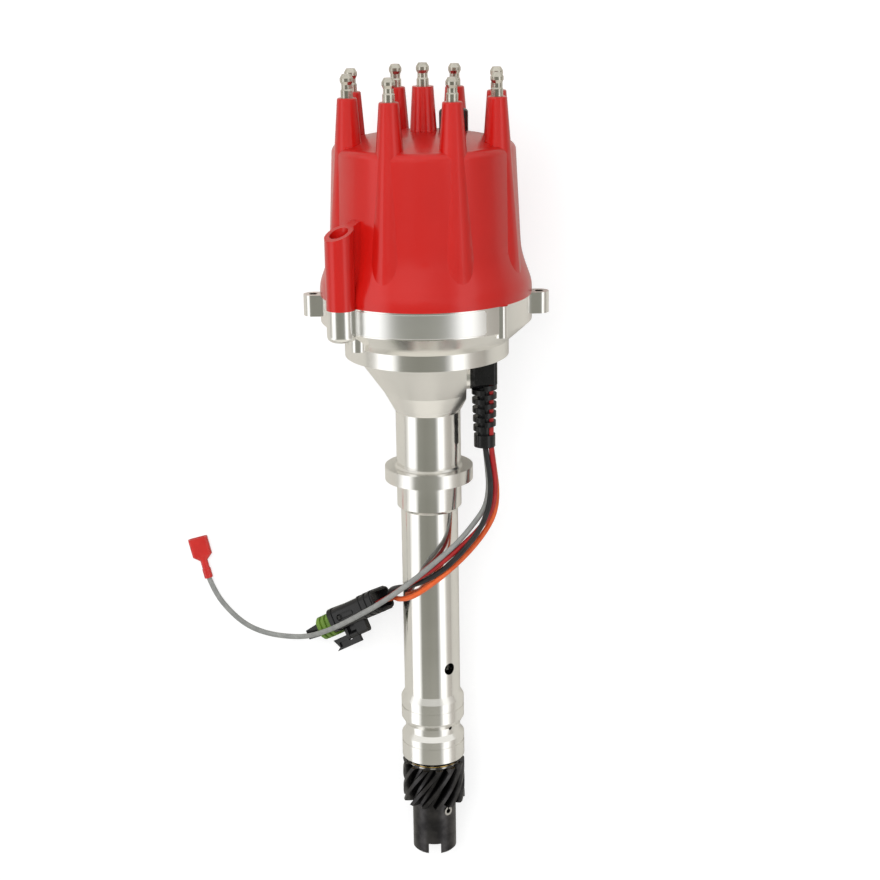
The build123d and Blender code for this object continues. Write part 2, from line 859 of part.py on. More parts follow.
with BuildPart() as advance_plate:
    with BuildSketch(across(shaft_top)):
        Circle(plate_r)
        Circle(spindle_r, mode=Mode.SUBTRACT)
        with BuildLine() as stop_path:
            CenterArc((0, 0), stop_circle_r, stop_azimuth, advance_range)
        SlotArc(stop_path.edge(), 2 * (stop_bushing_r + free), mode=Mode.SUBTRACT)
    extrude(amount=plate_thick)
    with BuildSketch(across(plate_top)):
        with PolarLocations(weight_band_r, 2, weight_azimuth):
            Circle(weight_pin_r)
    extrude(amount=plate_pins_top - plate_top)
    with BuildSketch(across(plate_top)):
        with PolarLocations(spring_post_circle_r, 2, spring_post_azimuth):
            Circle(spring_post_r)
    extrude(amount=cam_plate_low - 2 * free - plate_top)
advance_plate.part.label = "advance_plate"
export_step(advance_plate.part, "parts/advance_plate.step")

for number in (1, 2):
    pivot_azimuth = weight_azimuth + 180 * (number - 1)
    with BuildPart() as weight:
        with BuildSketch(across(weight_low)):
            with BuildLine() as weight_path:
                CenterArc((0, 0), weight_band_r, pivot_azimuth - weight_arc, weight_arc)
            SlotArc(weight_path.edge(), weight_width)
            with PolarLocations(weight_band_r, 1, pivot_azimuth):
                Circle(weight_pin_r + running, mode=Mode.SUBTRACT)
        extrude(amount=weight_thick)
    weight.part.label = f"advance_weight_{number}"
    export_step(weight.part, f"parts/advance_weight_{number}.step")

cam_azimuth = weight_azimuth - weight_arc / 2
cam_length = 2 * (weight_band_r - weight_width / 2 - free)

with BuildPart() as advance_cam:
    with BuildSketch(across(weight_low)):
        with PolarLocations(0, 1, cam_azimuth):
            SlotOverall(cam_length, cam_width)
    extrude(amount=weight_thick)
    with BuildSketch(across(plate_top + free)):
        Circle(sleeve_r)
    extrude(amount=cam_plate_low - plate_top - free)
    with BuildSketch(across(cam_plate_low)):
        Circle(cam_plate_r)
        with PolarLocations(rotor_screw_circle_r, 2):
            Circle(small_screw_r, mode=Mode.SUBTRACT)
    extrude(amount=cam_plate_thick)
    with BuildSketch(across(cam_plate_low)):
        with PolarLocations(cam_post_circle_r, 2, cam_post_azimuth):
            Circle(spring_post_r)
    extrude(amount=-(cam_plate_low - spring_height + spring_r))
    with BuildSketch(across(cam_plate_low)):
        with PolarLocations(stop_circle_r, 1, stop_azimuth):
            Circle(stop_pin_r)
    extrude(amount=-(cam_plate_low - shaft_top + free))
    with BuildSketch(across(plate_top)):
        Circle(spindle_r + running)
    extrude(amount=cam_plate_top - plate_top, mode=Mode.SUBTRACT)
advance_cam.part.label = "advance_cam"
export_step(advance_cam.part, "parts/advance_cam.step")

with BuildPart() as stop_bushing:
    with BuildSketch(across(shaft_top - free)):
        with PolarLocations(stop_circle_r, 1, stop_azimuth):
            Circle(stop_bushing_r)
            Circle(stop_pin_r, mode=Mode.SUBTRACT)
    extrude(amount=plate_thick + free)
stop_bushing.part.label = "stop_bushing"
export_step(stop_bushing.part, "parts/stop_bushing.step")

with BuildPart() as spindle_clip:
    with BuildSketch(across(cam_plate_top + free)):
        Circle(clip_r)
        Circle(spindle_r - clip_groove_depth, mode=Mode.SUBTRACT)
        Rectangle(clip_r, spindle_r, align=(Align.MIN, Align.CENTER), mode=Mode.SUBTRACT)
    extrude(amount=clip_thick)
spindle_clip.part.label = "spindle_clip"
export_step(spindle_clip.part, "parts/spindle_clip.step")


def coil_spring(start, end, square, coils, coil_r, wire, loop_r):
    """A close-wound spring as a row of rings from start to end, with a loop at each end if loop_r.
    The loops turn about square, a direction square to the spring."""
    along = end - start
    length = along.length - 2 * loop_r
    along = along.normalized()
    begin = start + along * loop_r
    face = Plane(origin=begin, x_dir=square, z_dir=along.cross(square))
    pitch = length / coils
    with BuildPart() as spring:
        with BuildSketch(face):
            with BuildLine():
                low = coil_r - wire
                turns = []
                for coil in range(coils):
                    turns.append((low, -coil * pitch))
                    turns.append((coil_r, -(coil + crest_start) * pitch))
                    turns.append((coil_r, -(coil + crest_end) * pitch))
                Polyline(*turns, (low, -length), (0, -length), (0, 0), close=True)
            make_face()
        revolve(axis=Axis(begin, along))
        if loop_r:
            for middle in (start, end):
                with BuildSketch(Plane(origin=middle, x_dir=along, z_dir=square)):
                    Circle(loop_r + 2 * wire)
                    Circle(loop_r, mode=Mode.SUBTRACT)
                extrude(amount=wire, both=True)
    return spring.part


for number in (1, 2):
    turn = 180 * (number - 1)
    post = at_polar(spring_height, spring_post_circle_r, spring_post_azimuth + turn).origin
    cam_post = at_polar(spring_height, cam_post_circle_r, cam_post_azimuth + turn).origin
    spring_part = coil_spring(
        post, cam_post, shaft_plane.z_dir, spring_coils, spring_r, spring_wire_r, spring_post_r + spring_play
    )
    spring_part.label = f"advance_spring_{number}"
    export_step(spring_part, f"parts/advance_spring_{number}.step")


# rotor: a moulded disc and neck with an arm, which carries the blade and the centre contact
rotor_low = cam_plate_top
rotor_base_top = rotor_low + rotor_base_thick
blade_azimuth = tower_turn + 5 * 360 / tower_count
blade_reach = tower_circle_r - electrode_r - blade_gap
screw_seat = rotor_base_top - rotor_screw_sink

with BuildPart() as rotor:
    revolve(
        outline(
            (0, rotor_low),
            (rotor_r, rotor_low),
            (rotor_r, rotor_base_top),
            (rotor_foot_r, rotor_base_top),
            (rotor_neck_r, rotor_top),
            (0, rotor_top),
        ),
        axis=spin,
    )
    arm_plane = radial(0, blade_azimuth + 90)
    with BuildSketch(Plane(origin=arm_plane.origin, x_dir=shaft_plane.z_dir, z_dir=arm_plane.z_dir)):
        with BuildLine():
            Polyline(
                (rotor_base_top, 0),
                (rotor_base_top, rotor_arm_low_reach),
                (rotor_top - rotor_arm_square, rotor_arm_reach),
                (rotor_top, rotor_arm_reach),
                (rotor_top, 0),
                close=True,
            )
        make_face()
    extrude(amount=rotor_arm_width / 2, both=True)
    with BuildSketch(across(rotor_low)):
        Circle(rotor_recess_r)
    extrude(amount=rotor_recess_depth, mode=Mode.SUBTRACT)
    with BuildSketch(across(screw_seat)):
        with PolarLocations(rotor_screw_circle_r, 2):
            Circle(small_head_r + free)
    extrude(amount=rotor_base_top - screw_seat, mode=Mode.SUBTRACT)
    with BuildSketch(across(rotor_low)):
        with PolarLocations(rotor_screw_circle_r, 2):
            Circle(small_screw_r + free)
    extrude(amount=rotor_base_thick, mode=Mode.SUBTRACT)
rotor.part.label = "rotor"
export_step(rotor.part, "parts/rotor.step")

with BuildPart() as rotor_screws:
    for angle in (0, 180):
        plane = at_polar(screw_seat, rotor_screw_circle_r, angle)
        length = screw_seat - cam_plate_low
        add(cap_head_screw(plane, small_head_r, small_head, small_screw_r, length, small_drive_r))
rotor_screws.part.label = "rotor_screws"
export_step(rotor_screws.part, "parts/rotor_screws.step")

with BuildPart() as rotor_blade:
    with BuildSketch(across(rotor_top)):
        with PolarLocations(0, 1, blade_azimuth):
            Rectangle(blade_reach + blade_width / 2, blade_width, align=(Align.MIN, Align.CENTER))
        Circle(blade_reach, mode=Mode.INTERSECT)
        Circle(blade_width / 2)
    extrude(amount=blade_thick)
rotor_blade.part.label = "rotor_blade"
export_step(rotor_blade.part, "parts/rotor_blade.step")

contact_low = rotor_top + blade_thick
contact_top = contact_low + contact_height
with BuildPart() as rotor_contact:
    with BuildSketch(across(contact_low)):
        Circle(contact_r)
    extrude(amount=contact_height)
    fillet(rotor_contact.edges().group_by(spin)[-1], contact_height * contact_round)
rotor_contact.part.label = "rotor_contact"
export_step(rotor_contact.part, "parts/rotor_contact.step")


# cap: a waisted shell with eight towers standing in its wall, a centre tower and two screw tunnels
tower_foot_r = tower_r + tower_taper * (tower_top - tower_low)
brush_low = contact_top + free
brush_top = brush_low + brush_length
pocket_top = brush_top + spring_room
coil_shank_low = pocket_top + coil_post
dome_r = (cap_crown_r**2 + (cap_top - cap_crown) ** 2) / (2 * (cap_top - cap_crown))
dome_mid = cap_top - dome_r + sqrt(dome_r**2 - (cap_crown_r / 2) ** 2)

with BuildPart(across(tower_low)) as cap:
    with PolarLocations(tower_circle_r, tower_count, tower_turn):
        Cone(tower_foot_r, tower_r, tower_top - tower_low, align=(Align.CENTER, Align.CENTER, Align.MIN))
    fillet(cap.edges().group_by(spin)[-1], tower_edge)
    with BuildSketch(across(rim_top)):
        with PolarLocations(lobe_circle_r, 2, lobe_azimuth):
            Circle(lobe_r)
            Rectangle(lobe_circle_r - cap_crown_r, lobe_r, align=(Align.MAX, Align.CENTER))
    extrude(amount=tunnel_web_top - rim_top)
    for turn in (0, 180):
        side = radial(0, lobe_azimuth + turn + 90)
        with BuildSketch(Plane(origin=side.origin, x_dir=shaft_plane.z_dir, z_dir=side.z_dir)):
            with BuildLine():
                Polyline(
                    (tunnel_top, lobe_circle_r + lobe_r),
                    (tunnel_web_top, cap_waist_r),
                    (tunnel_web_top + 1, cap_waist_r),
                    (tunnel_web_top + 1, lobe_circle_r + lobe_r + 1),
                    (tunnel_top, lobe_circle_r + lobe_r + 1),
                    close=True,
                )
            make_face()
        extrude(amount=lobe_r + 1, both=True, mode=Mode.SUBTRACT)
    with BuildSketch(section):
        with BuildLine():
            Polyline((0, rim_top), (rim_r, rim_top), (rim_r, cap_rim_top))
            Spline(
                (rim_r, cap_rim_top),
                *cap_flare,
                (cap_waist_r, cap_waist),
                tangents=((0, 1), (cap_shoulder_r - cap_waist_r, cap_shoulder - cap_waist)),
            )
            side_line = Line((cap_waist_r, cap_waist), (cap_shoulder_r, cap_shoulder))
            shoulder = TangentArc(side_line @ 1, (cap_crown_r, cap_crown), tangent=side_line % 1)
            ThreePointArc(shoulder @ 1, (cap_crown_r / 2, dome_mid), (0, cap_top))
            Line((0, cap_top), (0, rim_top))
        make_face()
    revolve(axis=spin)
    revolve(
        outline(
            (0, cap_crown),
            (centre_tower_base_r, cap_crown),
            (centre_tower_base_r, cap_top),
            (centre_tower_r, centre_tower_top),
            (0, centre_tower_top),
        ),
        axis=spin,
    )
    with BuildSketch(across(rim_top)):
        Circle(cap_lip_r)
    extrude(amount=-cap_lip_depth)
    revolve(
        outline(
            (0, rim_top - cap_lip_depth),
            (cap_lip_bore_r, rim_top - cap_lip_depth),
            (cap_lip_bore_r, cap_waist - wall),
            (cap_bore_r, cap_roof - cap_roof_corner),
            (cap_bore_r - cap_roof_corner, cap_roof),
            (0, cap_roof),
        ),
        axis=spin,
        mode=Mode.SUBTRACT,
    )
    with BuildSketch(across(cap_roof + socket_rise)):
        Circle(socket_r)
        with PolarLocations(tower_circle_r, tower_count, tower_turn):
            Circle(electrode_r + electrode_socket_wall)
        Circle(cap_bore_r - electrode_socket_gap, mode=Mode.INTERSECT)
    extrude(amount=-(cap_roof + socket_rise - socket_low))
    with BuildSketch(across(socket_low)):
        Circle(brush_r + running)
    extrude(amount=pocket_top - socket_low, mode=Mode.SUBTRACT)
    with BuildSketch(across(pocket_top)):
        Circle(post_r)
    extrude(amount=centre_tower_top - pocket_top, mode=Mode.SUBTRACT)
    with BuildSketch(across(coil_shank_low)):
        Circle(stud_ledge_r)
    extrude(amount=centre_tower_top - coil_shank_low, mode=Mode.SUBTRACT)
    with BuildSketch(across(socket_low)):
        with PolarLocations(tower_circle_r, tower_count, tower_turn):
            Circle(post_r)
    extrude(amount=tower_top - socket_low, mode=Mode.SUBTRACT)
    with BuildSketch(across(tower_top)):
        with PolarLocations(tower_circle_r, tower_count, tower_turn):
            Circle(stud_ledge_r)
    extrude(amount=-terminal_shank, mode=Mode.SUBTRACT)
    with BuildSketch(across(tunnel_seat)):
        with PolarLocations(lobe_circle_r, 2, lobe_azimuth):
            Circle(tunnel_bore_r)
    extrude(amount=tunnel_web_top - tunnel_seat, mode=Mode.SUBTRACT)
    with BuildSketch(across(rim_top)):
        with PolarLocations(lobe_circle_r, 2, lobe_azimuth):
            Circle(cap_screw_r + free)
    extrude(amount=tunnel_seat - rim_top, mode=Mode.SUBTRACT)
    with BuildSketch(across(vent_foot)):
        with Locations((vent_x, vent_y)):
            Circle(vent_r)
    extrude(amount=cap_top - vent_foot, mode=Mode.SUBTRACT)
    with BuildSketch(across(cap_roof)):
        with Locations((vent_x, vent_y)):
            Circle(vent_stem_r)
    extrude(amount=vent_foot - cap_roof, mode=Mode.SUBTRACT)
cap.part.label = "cap"
export_step(cap.part, "parts/cap.step")


def head_stud(foot, low, shank_low, seat):
    """A terminal along the axis of a plane at height 0: post, thicker shank, and the ribbed head above
    the tower's mouth at seat."""
    tip = seat + stud_length
    face = Plane(origin=foot.origin, x_dir=foot.x_dir, z_dir=-foot.y_dir)
    with BuildPart() as stud:
        with BuildSketch(face):
            with BuildLine():
                Polyline(
                    (0, tip),
                    (0, low),
                    (post_r, low),
                    (post_r, shank_low),
                    (stud_ledge_r, shank_low),
                    (stud_ledge_r, seat + stud_ledge_end),
                    (stud_neck_r, seat + stud_neck_start),
                    (stud_neck_r, seat + stud_neck_end),
                    (stud_r, seat + stud_head_start),
                    (stud_r, seat + stud_head_end),
                    (stud_tip_r, tip),
                    close=True,
                )
            make_face()
        revolve(axis=Axis(foot.origin, foot.z_dir))
    return stud.part


for number in range(1, tower_count + 1):
    foot = at_polar(0, tower_circle_r, tower_turn + 360 / tower_count * (number - 1))
    terminal = head_stud(foot, electrode_low, tower_top - terminal_shank, tower_top)
    terminal.label = f"plug_terminal_{number}"
    export_step(terminal, f"parts/plug_terminal_{number}.step")

coil_terminal = head_stud(across(0), pocket_top, coil_shank_low, centre_tower_top)
coil_terminal.label = "coil_terminal"
export_step(coil_terminal, "parts/coil_terminal.step")

# carbon brush and the spring that holds it against the rotor's contact
with BuildPart() as carbon_brush:
    with BuildSketch(across(brush_low)):
        Circle(brush_r)
    extrude(amount=brush_length)
    chamfer(carbon_brush.edges().group_by(spin)[0], brush_chamfer)
carbon_brush.part.label = "carbon_brush"
export_step(carbon_brush.part, "parts/carbon_brush.step")

spring_start = across(brush_top + brush_spring_gap).origin
spring_end = across(pocket_top - brush_spring_gap).origin
brush_spring_r = brush_r - brush_spring_play
brush_spring = coil_spring(
    spring_start, spring_end, shaft_plane.x_dir, brush_spring_coils, brush_spring_r, brush_spring_wire_r, 0
)
brush_spring.label = "brush_spring"
export_step(brush_spring, "parts/brush_spring.step")

# screws that hold the cap down in its two tunnels
with BuildPart() as cap_screws:
    for angle in (lobe_azimuth, lobe_azimuth + 180):
        plane = at_polar(tunnel_seat, lobe_circle_r, angle)
        length = tunnel_seat - cap_screw_low
        add(cap_head_screw(plane, cap_screw_head_r, cap_screw_head, cap_screw_r, length, cap_screw_drive_r))
cap_screws.part.label = "cap_screws"
export_step(cap_screws.part, "parts/cap_screws.step")

# vent plug pressed into the cap's roof
with BuildPart() as vent:
    with BuildSketch(across(vent_foot)):
        with Locations((vent_x, vent_y)):
            Circle(vent_r)
    extrude(amount=vent_height)
    fillet(vent.edges().group_by(spin)[-1], vent_fillet)
    with BuildSketch(across(vent_foot)):
        with Locations((vent_x, vent_y)):
            Circle(vent_stem_r)
    extrude(amount=-vent_stem_length)
vent.part.label = "cap_vent"
export_step(vent.part, "parts/cap_vent.step")


# right-angle strain relief: a block on the boss, then a core with staggered half ribs and an end cap
relief_core = at_polar(0, relief_axis, 0)

with BuildPart() as strain_relief:
    with BuildSketch(relief_core.offset(relief_block_low)):
        RectangleRounded(relief_block, relief_block, relief_corner)
    extrude(amount=relief_top - relief_block_low)
    with BuildSketch(radial(lead_height, 0).offset(boss_face)):
        Circle(boss_r)
    extrude(amount=relief_block / 2)
    with BuildSketch(radial(lead_height, 0).offset(boss_face)):
        Circle(stem_r)
    extrude(amount=-(boss_face - upper_tube_r + relief_stem_past))
    with BuildSketch(relief_core.offset(relief_low)):
        Circle(relief_core_r)
    extrude(amount=relief_block_low - relief_low)
    with BuildSketch(relief_core.offset(relief_low)):
        Circle(relief_end_r)
    extrude(amount=relief_cap)
    for side, first in ((-1, relief_first_rib - relief_pitch / 2), (1, relief_first_rib)):
        for rib in range(relief_ribs):
            height = first - rib * relief_pitch - relief_rib_thick / 2
            share = (relief_first_rib - height) / (relief_first_rib - relief_low)
            reach = relief_r + (relief_end_r - relief_r) * share
            with BuildSketch(relief_core.offset(height)):
                Circle(reach)
                Rectangle(
                    reach + 1,
                    2 * reach + 2,
                    align=(Align.MIN if side < 0 else Align.MAX, Align.CENTER),
                    mode=Mode.SUBTRACT,
                )
            extrude(amount=relief_rib_thick)
strain_relief.part.label = "strain_relief"
export_step(strain_relief.part, "parts/strain_relief.step")


# the plug's frame: x toward its lock, y upward, z along it from the wire end to the nose
plug_side = Vector(0, 0, 1).cross(Vector(*plug_axis)).rotate(Axis((0, 0, 0), plug_axis), plug_roll)
plug_plane = Plane(origin=plug_end, x_dir=plug_side, z_dir=plug_axis)


def plug_point(across_plug, up, ahead):
    """Point of the plug in the resting frame."""
    return plug_plane.from_local_coords(Vector(across_plug, up, ahead))


# plug body: shell with an open wire end, neck for the seal, two prongs and the lock's hinge block
plug_middle = (plug_front - plug_back) / 2
plug_width = plug_front + plug_back
with BuildPart() as plug_body:
    with BuildSketch(plug_plane):
        with Locations((plug_middle, 0)):
            RectangleRounded(plug_width, 2 * plug_half, plug_corner)
    extrude(amount=plug_length)
    round_edges = plug_body.edges().filter_by(GeomType.LINE, reverse=True)
    fillet(round_edges.group_by(Axis(plug_end, plug_axis))[0], plug_wall / 2)
    with BuildSketch(plug_plane):
        with Locations((plug_middle, 0)):
            RectangleRounded(plug_width - 2 * plug_wall, 2 * (plug_half - plug_wall), plug_corner - plug_wall)
    extrude(amount=cavity_floor, mode=Mode.SUBTRACT)
    with BuildSketch(plug_plane.offset(plug_length)):
        RectangleRounded(neck_width, neck_height, plug_corner)
    extrude(amount=neck_end - plug_length)
    for side in (-1, 1):
        with BuildSketch(plug_plane.offset(neck_end)):
            with Locations((0, side * (prong_root_reach - prong_thick / 2))):
                Rectangle(prong_root_width, prong_thick)
        with BuildSketch(plug_plane.offset(prong_tip)):
            with Locations((0, side * (prong_tip_reach - prong_thick / 2))):
                Rectangle(prong_tip_width, prong_thick)
        loft()
    with BuildSketch(plug_plane.offset(lock_block_start)):
        with Locations(((plug_front + lock_x) / 2, 0)):
            Rectangle(lock_x - plug_front, 2 * lock_knuckle_r)
        with Locations((lock_x, 0)):
            Circle(lock_knuckle_r)
    extrude(amount=lock_start - lock_gap - lock_block_start)
    with BuildSketch(plug_plane.offset(lock_start + lock_knuckle + lock_gap)):
        with Locations(((plug_front + lock_x) / 2, 0)):
            Rectangle(lock_x - plug_front, 2 * lock_knuckle_r)
        with Locations((lock_x, 0)):
            Circle(lock_knuckle_r)
    extrude(amount=lock_ear)
    with BuildSketch(plug_plane.offset(lock_block_start)):
        with Locations((lock_x, 0)):
            Circle(lock_pin_r)
    extrude(amount=lock_start + lock_knuckle + lock_gap - lock_block_start + lock_ear)
    latch_foot = plug_point(plug_middle, plug_half, 0)
    latch_plane = Plane(origin=latch_foot, x_dir=plug_plane.x_dir, z_dir=plug_plane.y_dir)
    with BuildSketch(latch_plane):
        with Locations((0, -latch_centre)):
            SlotCenterToCenter(latch_length - latch_width, latch_width, rotation=90)
    extrude(amount=-latch_rise, mode=Mode.SUBTRACT)
plug_body.part.label = "plug_body"
export_step(plug_body.part, "parts/plug_body.step")

# ribbed seal stretched over the plug's neck
with BuildPart() as plug_seal:
    seal_pitch = (seal_end - seal_start) / seal_ribs
    with BuildSketch(plug_plane.offset(seal_start)):
        RectangleRounded(seal_width - 2 * seal_groove, seal_height - 2 * seal_groove, plug_corner)
    extrude(amount=seal_end - seal_start)
    for rib in range(seal_ribs):
        with BuildSketch(plug_plane.offset(seal_start + rib * seal_pitch)):
            RectangleRounded(seal_width, seal_height, plug_corner + seal_groove)
        extrude(amount=seal_rib)
    with BuildSketch(plug_plane.offset(seal_start)):
        RectangleRounded(neck_width, neck_height, plug_corner)
    extrude(amount=seal_end - seal_start, mode=Mode.SUBTRACT)
plug_seal.part.label = "plug_seal"
export_step(plug_seal.part, "parts/plug_seal.step")

# lock flap: knuckle on the pin, then a windowed plate with a notched nose end
with BuildPart() as plug_lock:
    with BuildSketch(plug_plane.offset(lock_start)):
        with Locations((lock_x, 0)):
            Circle(lock_knuckle_r)
            Circle(lock_bore_r, mode=Mode.SUBTRACT)
    extrude(amount=lock_knuckle)
    flap_foot = plug_point(0, -lock_thick / 2, 0)
    flap_plane = Plane(origin=flap_foot, x_dir=plug_plane.x_dir, z_dir=-plug_plane.y_dir)
    plate_start = lock_x + lock_knuckle_r + lock_gap
    ear_end = lock_start + lock_knuckle + lock_gap + lock_ear
    with BuildSketch(flap_plane):
        with BuildLine():
            Polyline(
                (lock_x + lock_bore_r + lock_gap, lock_start),
                (lock_reach, lock_start),
                (lock_reach, lock_tip),
                ((lock_reach + plate_start) / 2, lock_tip - lock_notch),
                (lock_x - lock_bore_r, lock_tip),
                (lock_x - lock_bore_r, ear_end + lock_gap),
                (plate_start, ear_end + lock_gap),
                (plate_start, lock_start + lock_knuckle),
                (lock_x + lock_bore_r + lock_gap, lock_start + lock_knuckle),
                close=True,
            )
        make_face()
        with Locations(((lock_reach + lock_x) / 2, lock_window_z + lock_window[1] / 2)):
            Rectangle(*lock_window, mode=Mode.SUBTRACT)
    extrude(amount=-lock_thick)
plug_lock.part.label = "plug_lock"
export_step(plug_lock.part, "parts/plug_lock.step")


# push-on terminal: crimped barrel and neck, then the wide hood over the receptacle
sleeve_plane = Plane(origin=sleeve_foot, x_dir=Vector(0, 0, 1).cross(Vector(*sleeve_way)), z_dir=sleeve_way)
with BuildPart() as sleeve:
    with BuildSketch(sleeve_plane):
        Circle(sleeve_barrel_r)
    extrude(amount=sleeve_barrel)
    chamfer(sleeve.edges().group_by(Axis(sleeve_foot, sleeve_way))[-1], sleeve_barrel_r - sleeve_neck_r)
    with BuildSketch(sleeve_plane.offset(sleeve_barrel)):
        Circle(sleeve_neck_r)
    extrude(amount=sleeve_shoulder - sleeve_barrel)
    with BuildSketch(sleeve_plane.offset(sleeve_shoulder)):
        Circle(sleeve_neck_r)
    with BuildSketch(sleeve_plane.offset(sleeve_mouth)):
        RectangleRounded(sleeve_width, sleeve_thick, sleeve_corner)
    loft()
    with BuildSketch(sleeve_plane.offset(sleeve_mouth)):
        RectangleRounded(sleeve_width, sleeve_thick, sleeve_corner)
    extrude(amount=sleeve_length - sleeve_mouth)
    with BuildSketch(sleeve_plane.offset(sleeve_length)):
        RectangleRounded(
            sleeve_width - 2 * sleeve_shell, sleeve_thick - 2 * sleeve_shell, sleeve_corner - sleeve_shell / 2
        )
    extrude(amount=-(tab_length + tab_recess), mode=Mode.SUBTRACT)
sleeve.part.label = "terminal_sleeve"
export_step(sleeve.part, "parts/terminal_sleeve.step")

# receptacle inside the sleeve: flat tube with a slot for the tab
with BuildPart() as receptacle:
    with BuildSketch(sleeve_plane.offset(sleeve_length - tab_recess - tab_length)):
        RectangleRounded(tab_width, tab_thick, tab_thick / 2 - tab_flat)
    extrude(amount=tab_length)
    with BuildSketch(sleeve_plane.offset(sleeve_length - tab_recess)):
        Rectangle(tab_slot_width, tab_slot)
    extrude(amount=-(tab_length - tab_floor), mode=Mode.SUBTRACT)
receptacle.part.label = "terminal_clip"
export_step(receptacle.part, "parts/terminal_clip.step")


# the four wires of the lead
def exit_point(side, row):
    """Middle of a wire in the end face of the strain relief: side +1 outward, row +1 upward."""
    place = Vector(bundle_x + side * wire_pitch / 2, -row * wire_pitch / 2, 0)
    return across(relief_low).from_local_coords(place)


def cavity_run(place):
    """Last run of a wire, ending on the floor of its cavity."""
    up = place * cavity_pitch
    return [plug_point(0, up, cavity_floor - wire_straight), plug_point(0, up, cavity_floor)]


routes = {
    "wire_black": [exit_point(-1, 1), *black_points, *cavity_run(0)],
    "wire_red": [exit_point(1, 1), *red_points, *cavity_run(1)],
    "wire_orange": [exit_point(1, -1), *orange_points, *cavity_run(-1)],
    "wire_gray": [exit_point(-1, -1), *gray_points, sleeve_foot],
}


def corner_radii(corners):
    """Radius of each corner's arc: as large as its two runs allow."""
    radii = []
    for before, corner, after in zip(corners, corners[1:], corners[2:]):
        run = min((corner - before).length, (after - corner).length)
        turn = radians((corner - before).get_angle(after - corner))
        radii.append(arc_share * run / tan(turn / 2))
    return radii


for wire_name, points in routes.items():
    corners = [Vector(*point) for point in points]
    radii = corner_radii(corners)
    with BuildPart() as wire:
        with BuildLine():
            path = FilletPolyline(*corners, radius=radii)
        with BuildSketch(Plane(origin=path @ 0, z_dir=path % 0)):
            Circle(wire_r)
        sweep()
    wire.part.label = wire_name
    export_step(wire.part, f"parts/{wire_name}.step")
    filled = wire.part.volume / (pi * wire_r ** 2 * path.length)
    print(wire_name, "length", round(path.length, 1), "filled", round(filled, 4))
    print("  radii", [round(radius, 1) for radius in radii])
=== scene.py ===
# Ignition distributor: finishes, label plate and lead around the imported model.
import math

import bpy
from mathutils import Matrix, Vector


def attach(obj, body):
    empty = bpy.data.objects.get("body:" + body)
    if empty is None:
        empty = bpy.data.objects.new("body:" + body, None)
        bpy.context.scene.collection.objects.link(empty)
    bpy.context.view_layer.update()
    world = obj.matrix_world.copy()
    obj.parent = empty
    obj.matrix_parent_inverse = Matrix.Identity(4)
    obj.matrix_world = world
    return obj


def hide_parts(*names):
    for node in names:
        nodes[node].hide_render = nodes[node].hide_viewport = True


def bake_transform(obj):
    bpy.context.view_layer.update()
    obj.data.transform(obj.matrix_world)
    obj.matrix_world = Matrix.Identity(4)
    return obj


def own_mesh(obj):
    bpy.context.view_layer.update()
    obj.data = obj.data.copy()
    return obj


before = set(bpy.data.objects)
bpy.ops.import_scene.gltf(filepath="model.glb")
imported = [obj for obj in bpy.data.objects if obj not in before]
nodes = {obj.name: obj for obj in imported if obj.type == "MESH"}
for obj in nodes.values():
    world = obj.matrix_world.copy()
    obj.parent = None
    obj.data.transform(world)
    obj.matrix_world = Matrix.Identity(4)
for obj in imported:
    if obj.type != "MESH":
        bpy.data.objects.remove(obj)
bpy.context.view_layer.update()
scene = bpy.context.scene
scene.view_settings.view_transform = "Standard"

# the shaft leans up from +Y, because the distributor rests on its bowl and its gear
lean = math.radians(7.8097)
shaftWay = Vector((0, math.cos(lean), math.sin(lean)))
downWay = Vector((0, math.sin(lean), -math.cos(lean)))


def onShaft(radius, turn, height):
    # millimetres and degrees; turn 0 is straight up, 90 is towards +X
    side = Vector((math.sin(math.radians(turn)), 0, 0)) - downWay * math.cos(math.radians(turn))
    return (side * radius + shaftWay * height) / 1000


# the camera, in metres in the row's frame
viewer = {
    "place": (0.0057484, 0.1582292, 0.9334408),
    "right": (0.999895, -0.014328, 0.00214),
    "up": (0.014487, 0.988928, -0.147684),
    "lens": 77.248,
    "sensor": 36,
    "near": 0.02,
    "far": 20,
}
cameraData = bpy.data.cameras.new("viewer")
cameraData.lens = viewer["lens"]
cameraData.sensor_width = viewer["sensor"]
cameraData.clip_start = viewer["near"]
cameraData.clip_end = viewer["far"]
camera = bpy.data.objects.new("viewer", cameraData)
scene.collection.objects.link(camera)
right = Vector(viewer["right"]).normalized()
up = Vector(viewer["up"]).normalized()
back = right.cross(up)
camera.matrix_world = Matrix((
    (right.x, up.x, back.x, viewer["place"][0]),
    (right.y, up.y, back.y, viewer["place"][1]),
    (right.z, up.z, back.z, viewer["place"][2]),
    (0, 0, 0, 1),
))
scene.camera = camera
print("camera set")


# building blocks for the finishes; depths and reaches in metres
turningDepth = 0.00002
grainDepth = 0.00003
turningSpread = 20  # how fast the turning marks change round the shaft
glowReach = (0.002, 0.0006, 0.0004)


def startFinish(name):
    finish = bpy.data.materials.new(name)
    finish.use_nodes = True
    tree = finish.node_tree
    return finish, tree, tree.nodes["Principled BSDF"]


def objectPlace(tree, scale=(1, 1, 1), turn=(0, 0, 0)):
    coordinates = tree.nodes.new("ShaderNodeTexCoord")
    mapping = tree.nodes.new("ShaderNodeMapping")
    mapping.inputs["Scale"].default_value = scale
    mapping.inputs["Rotation"].default_value = turn
    tree.links.new(coordinates.outputs["Object"], mapping.inputs["Vector"])
    return mapping.outputs["Vector"]


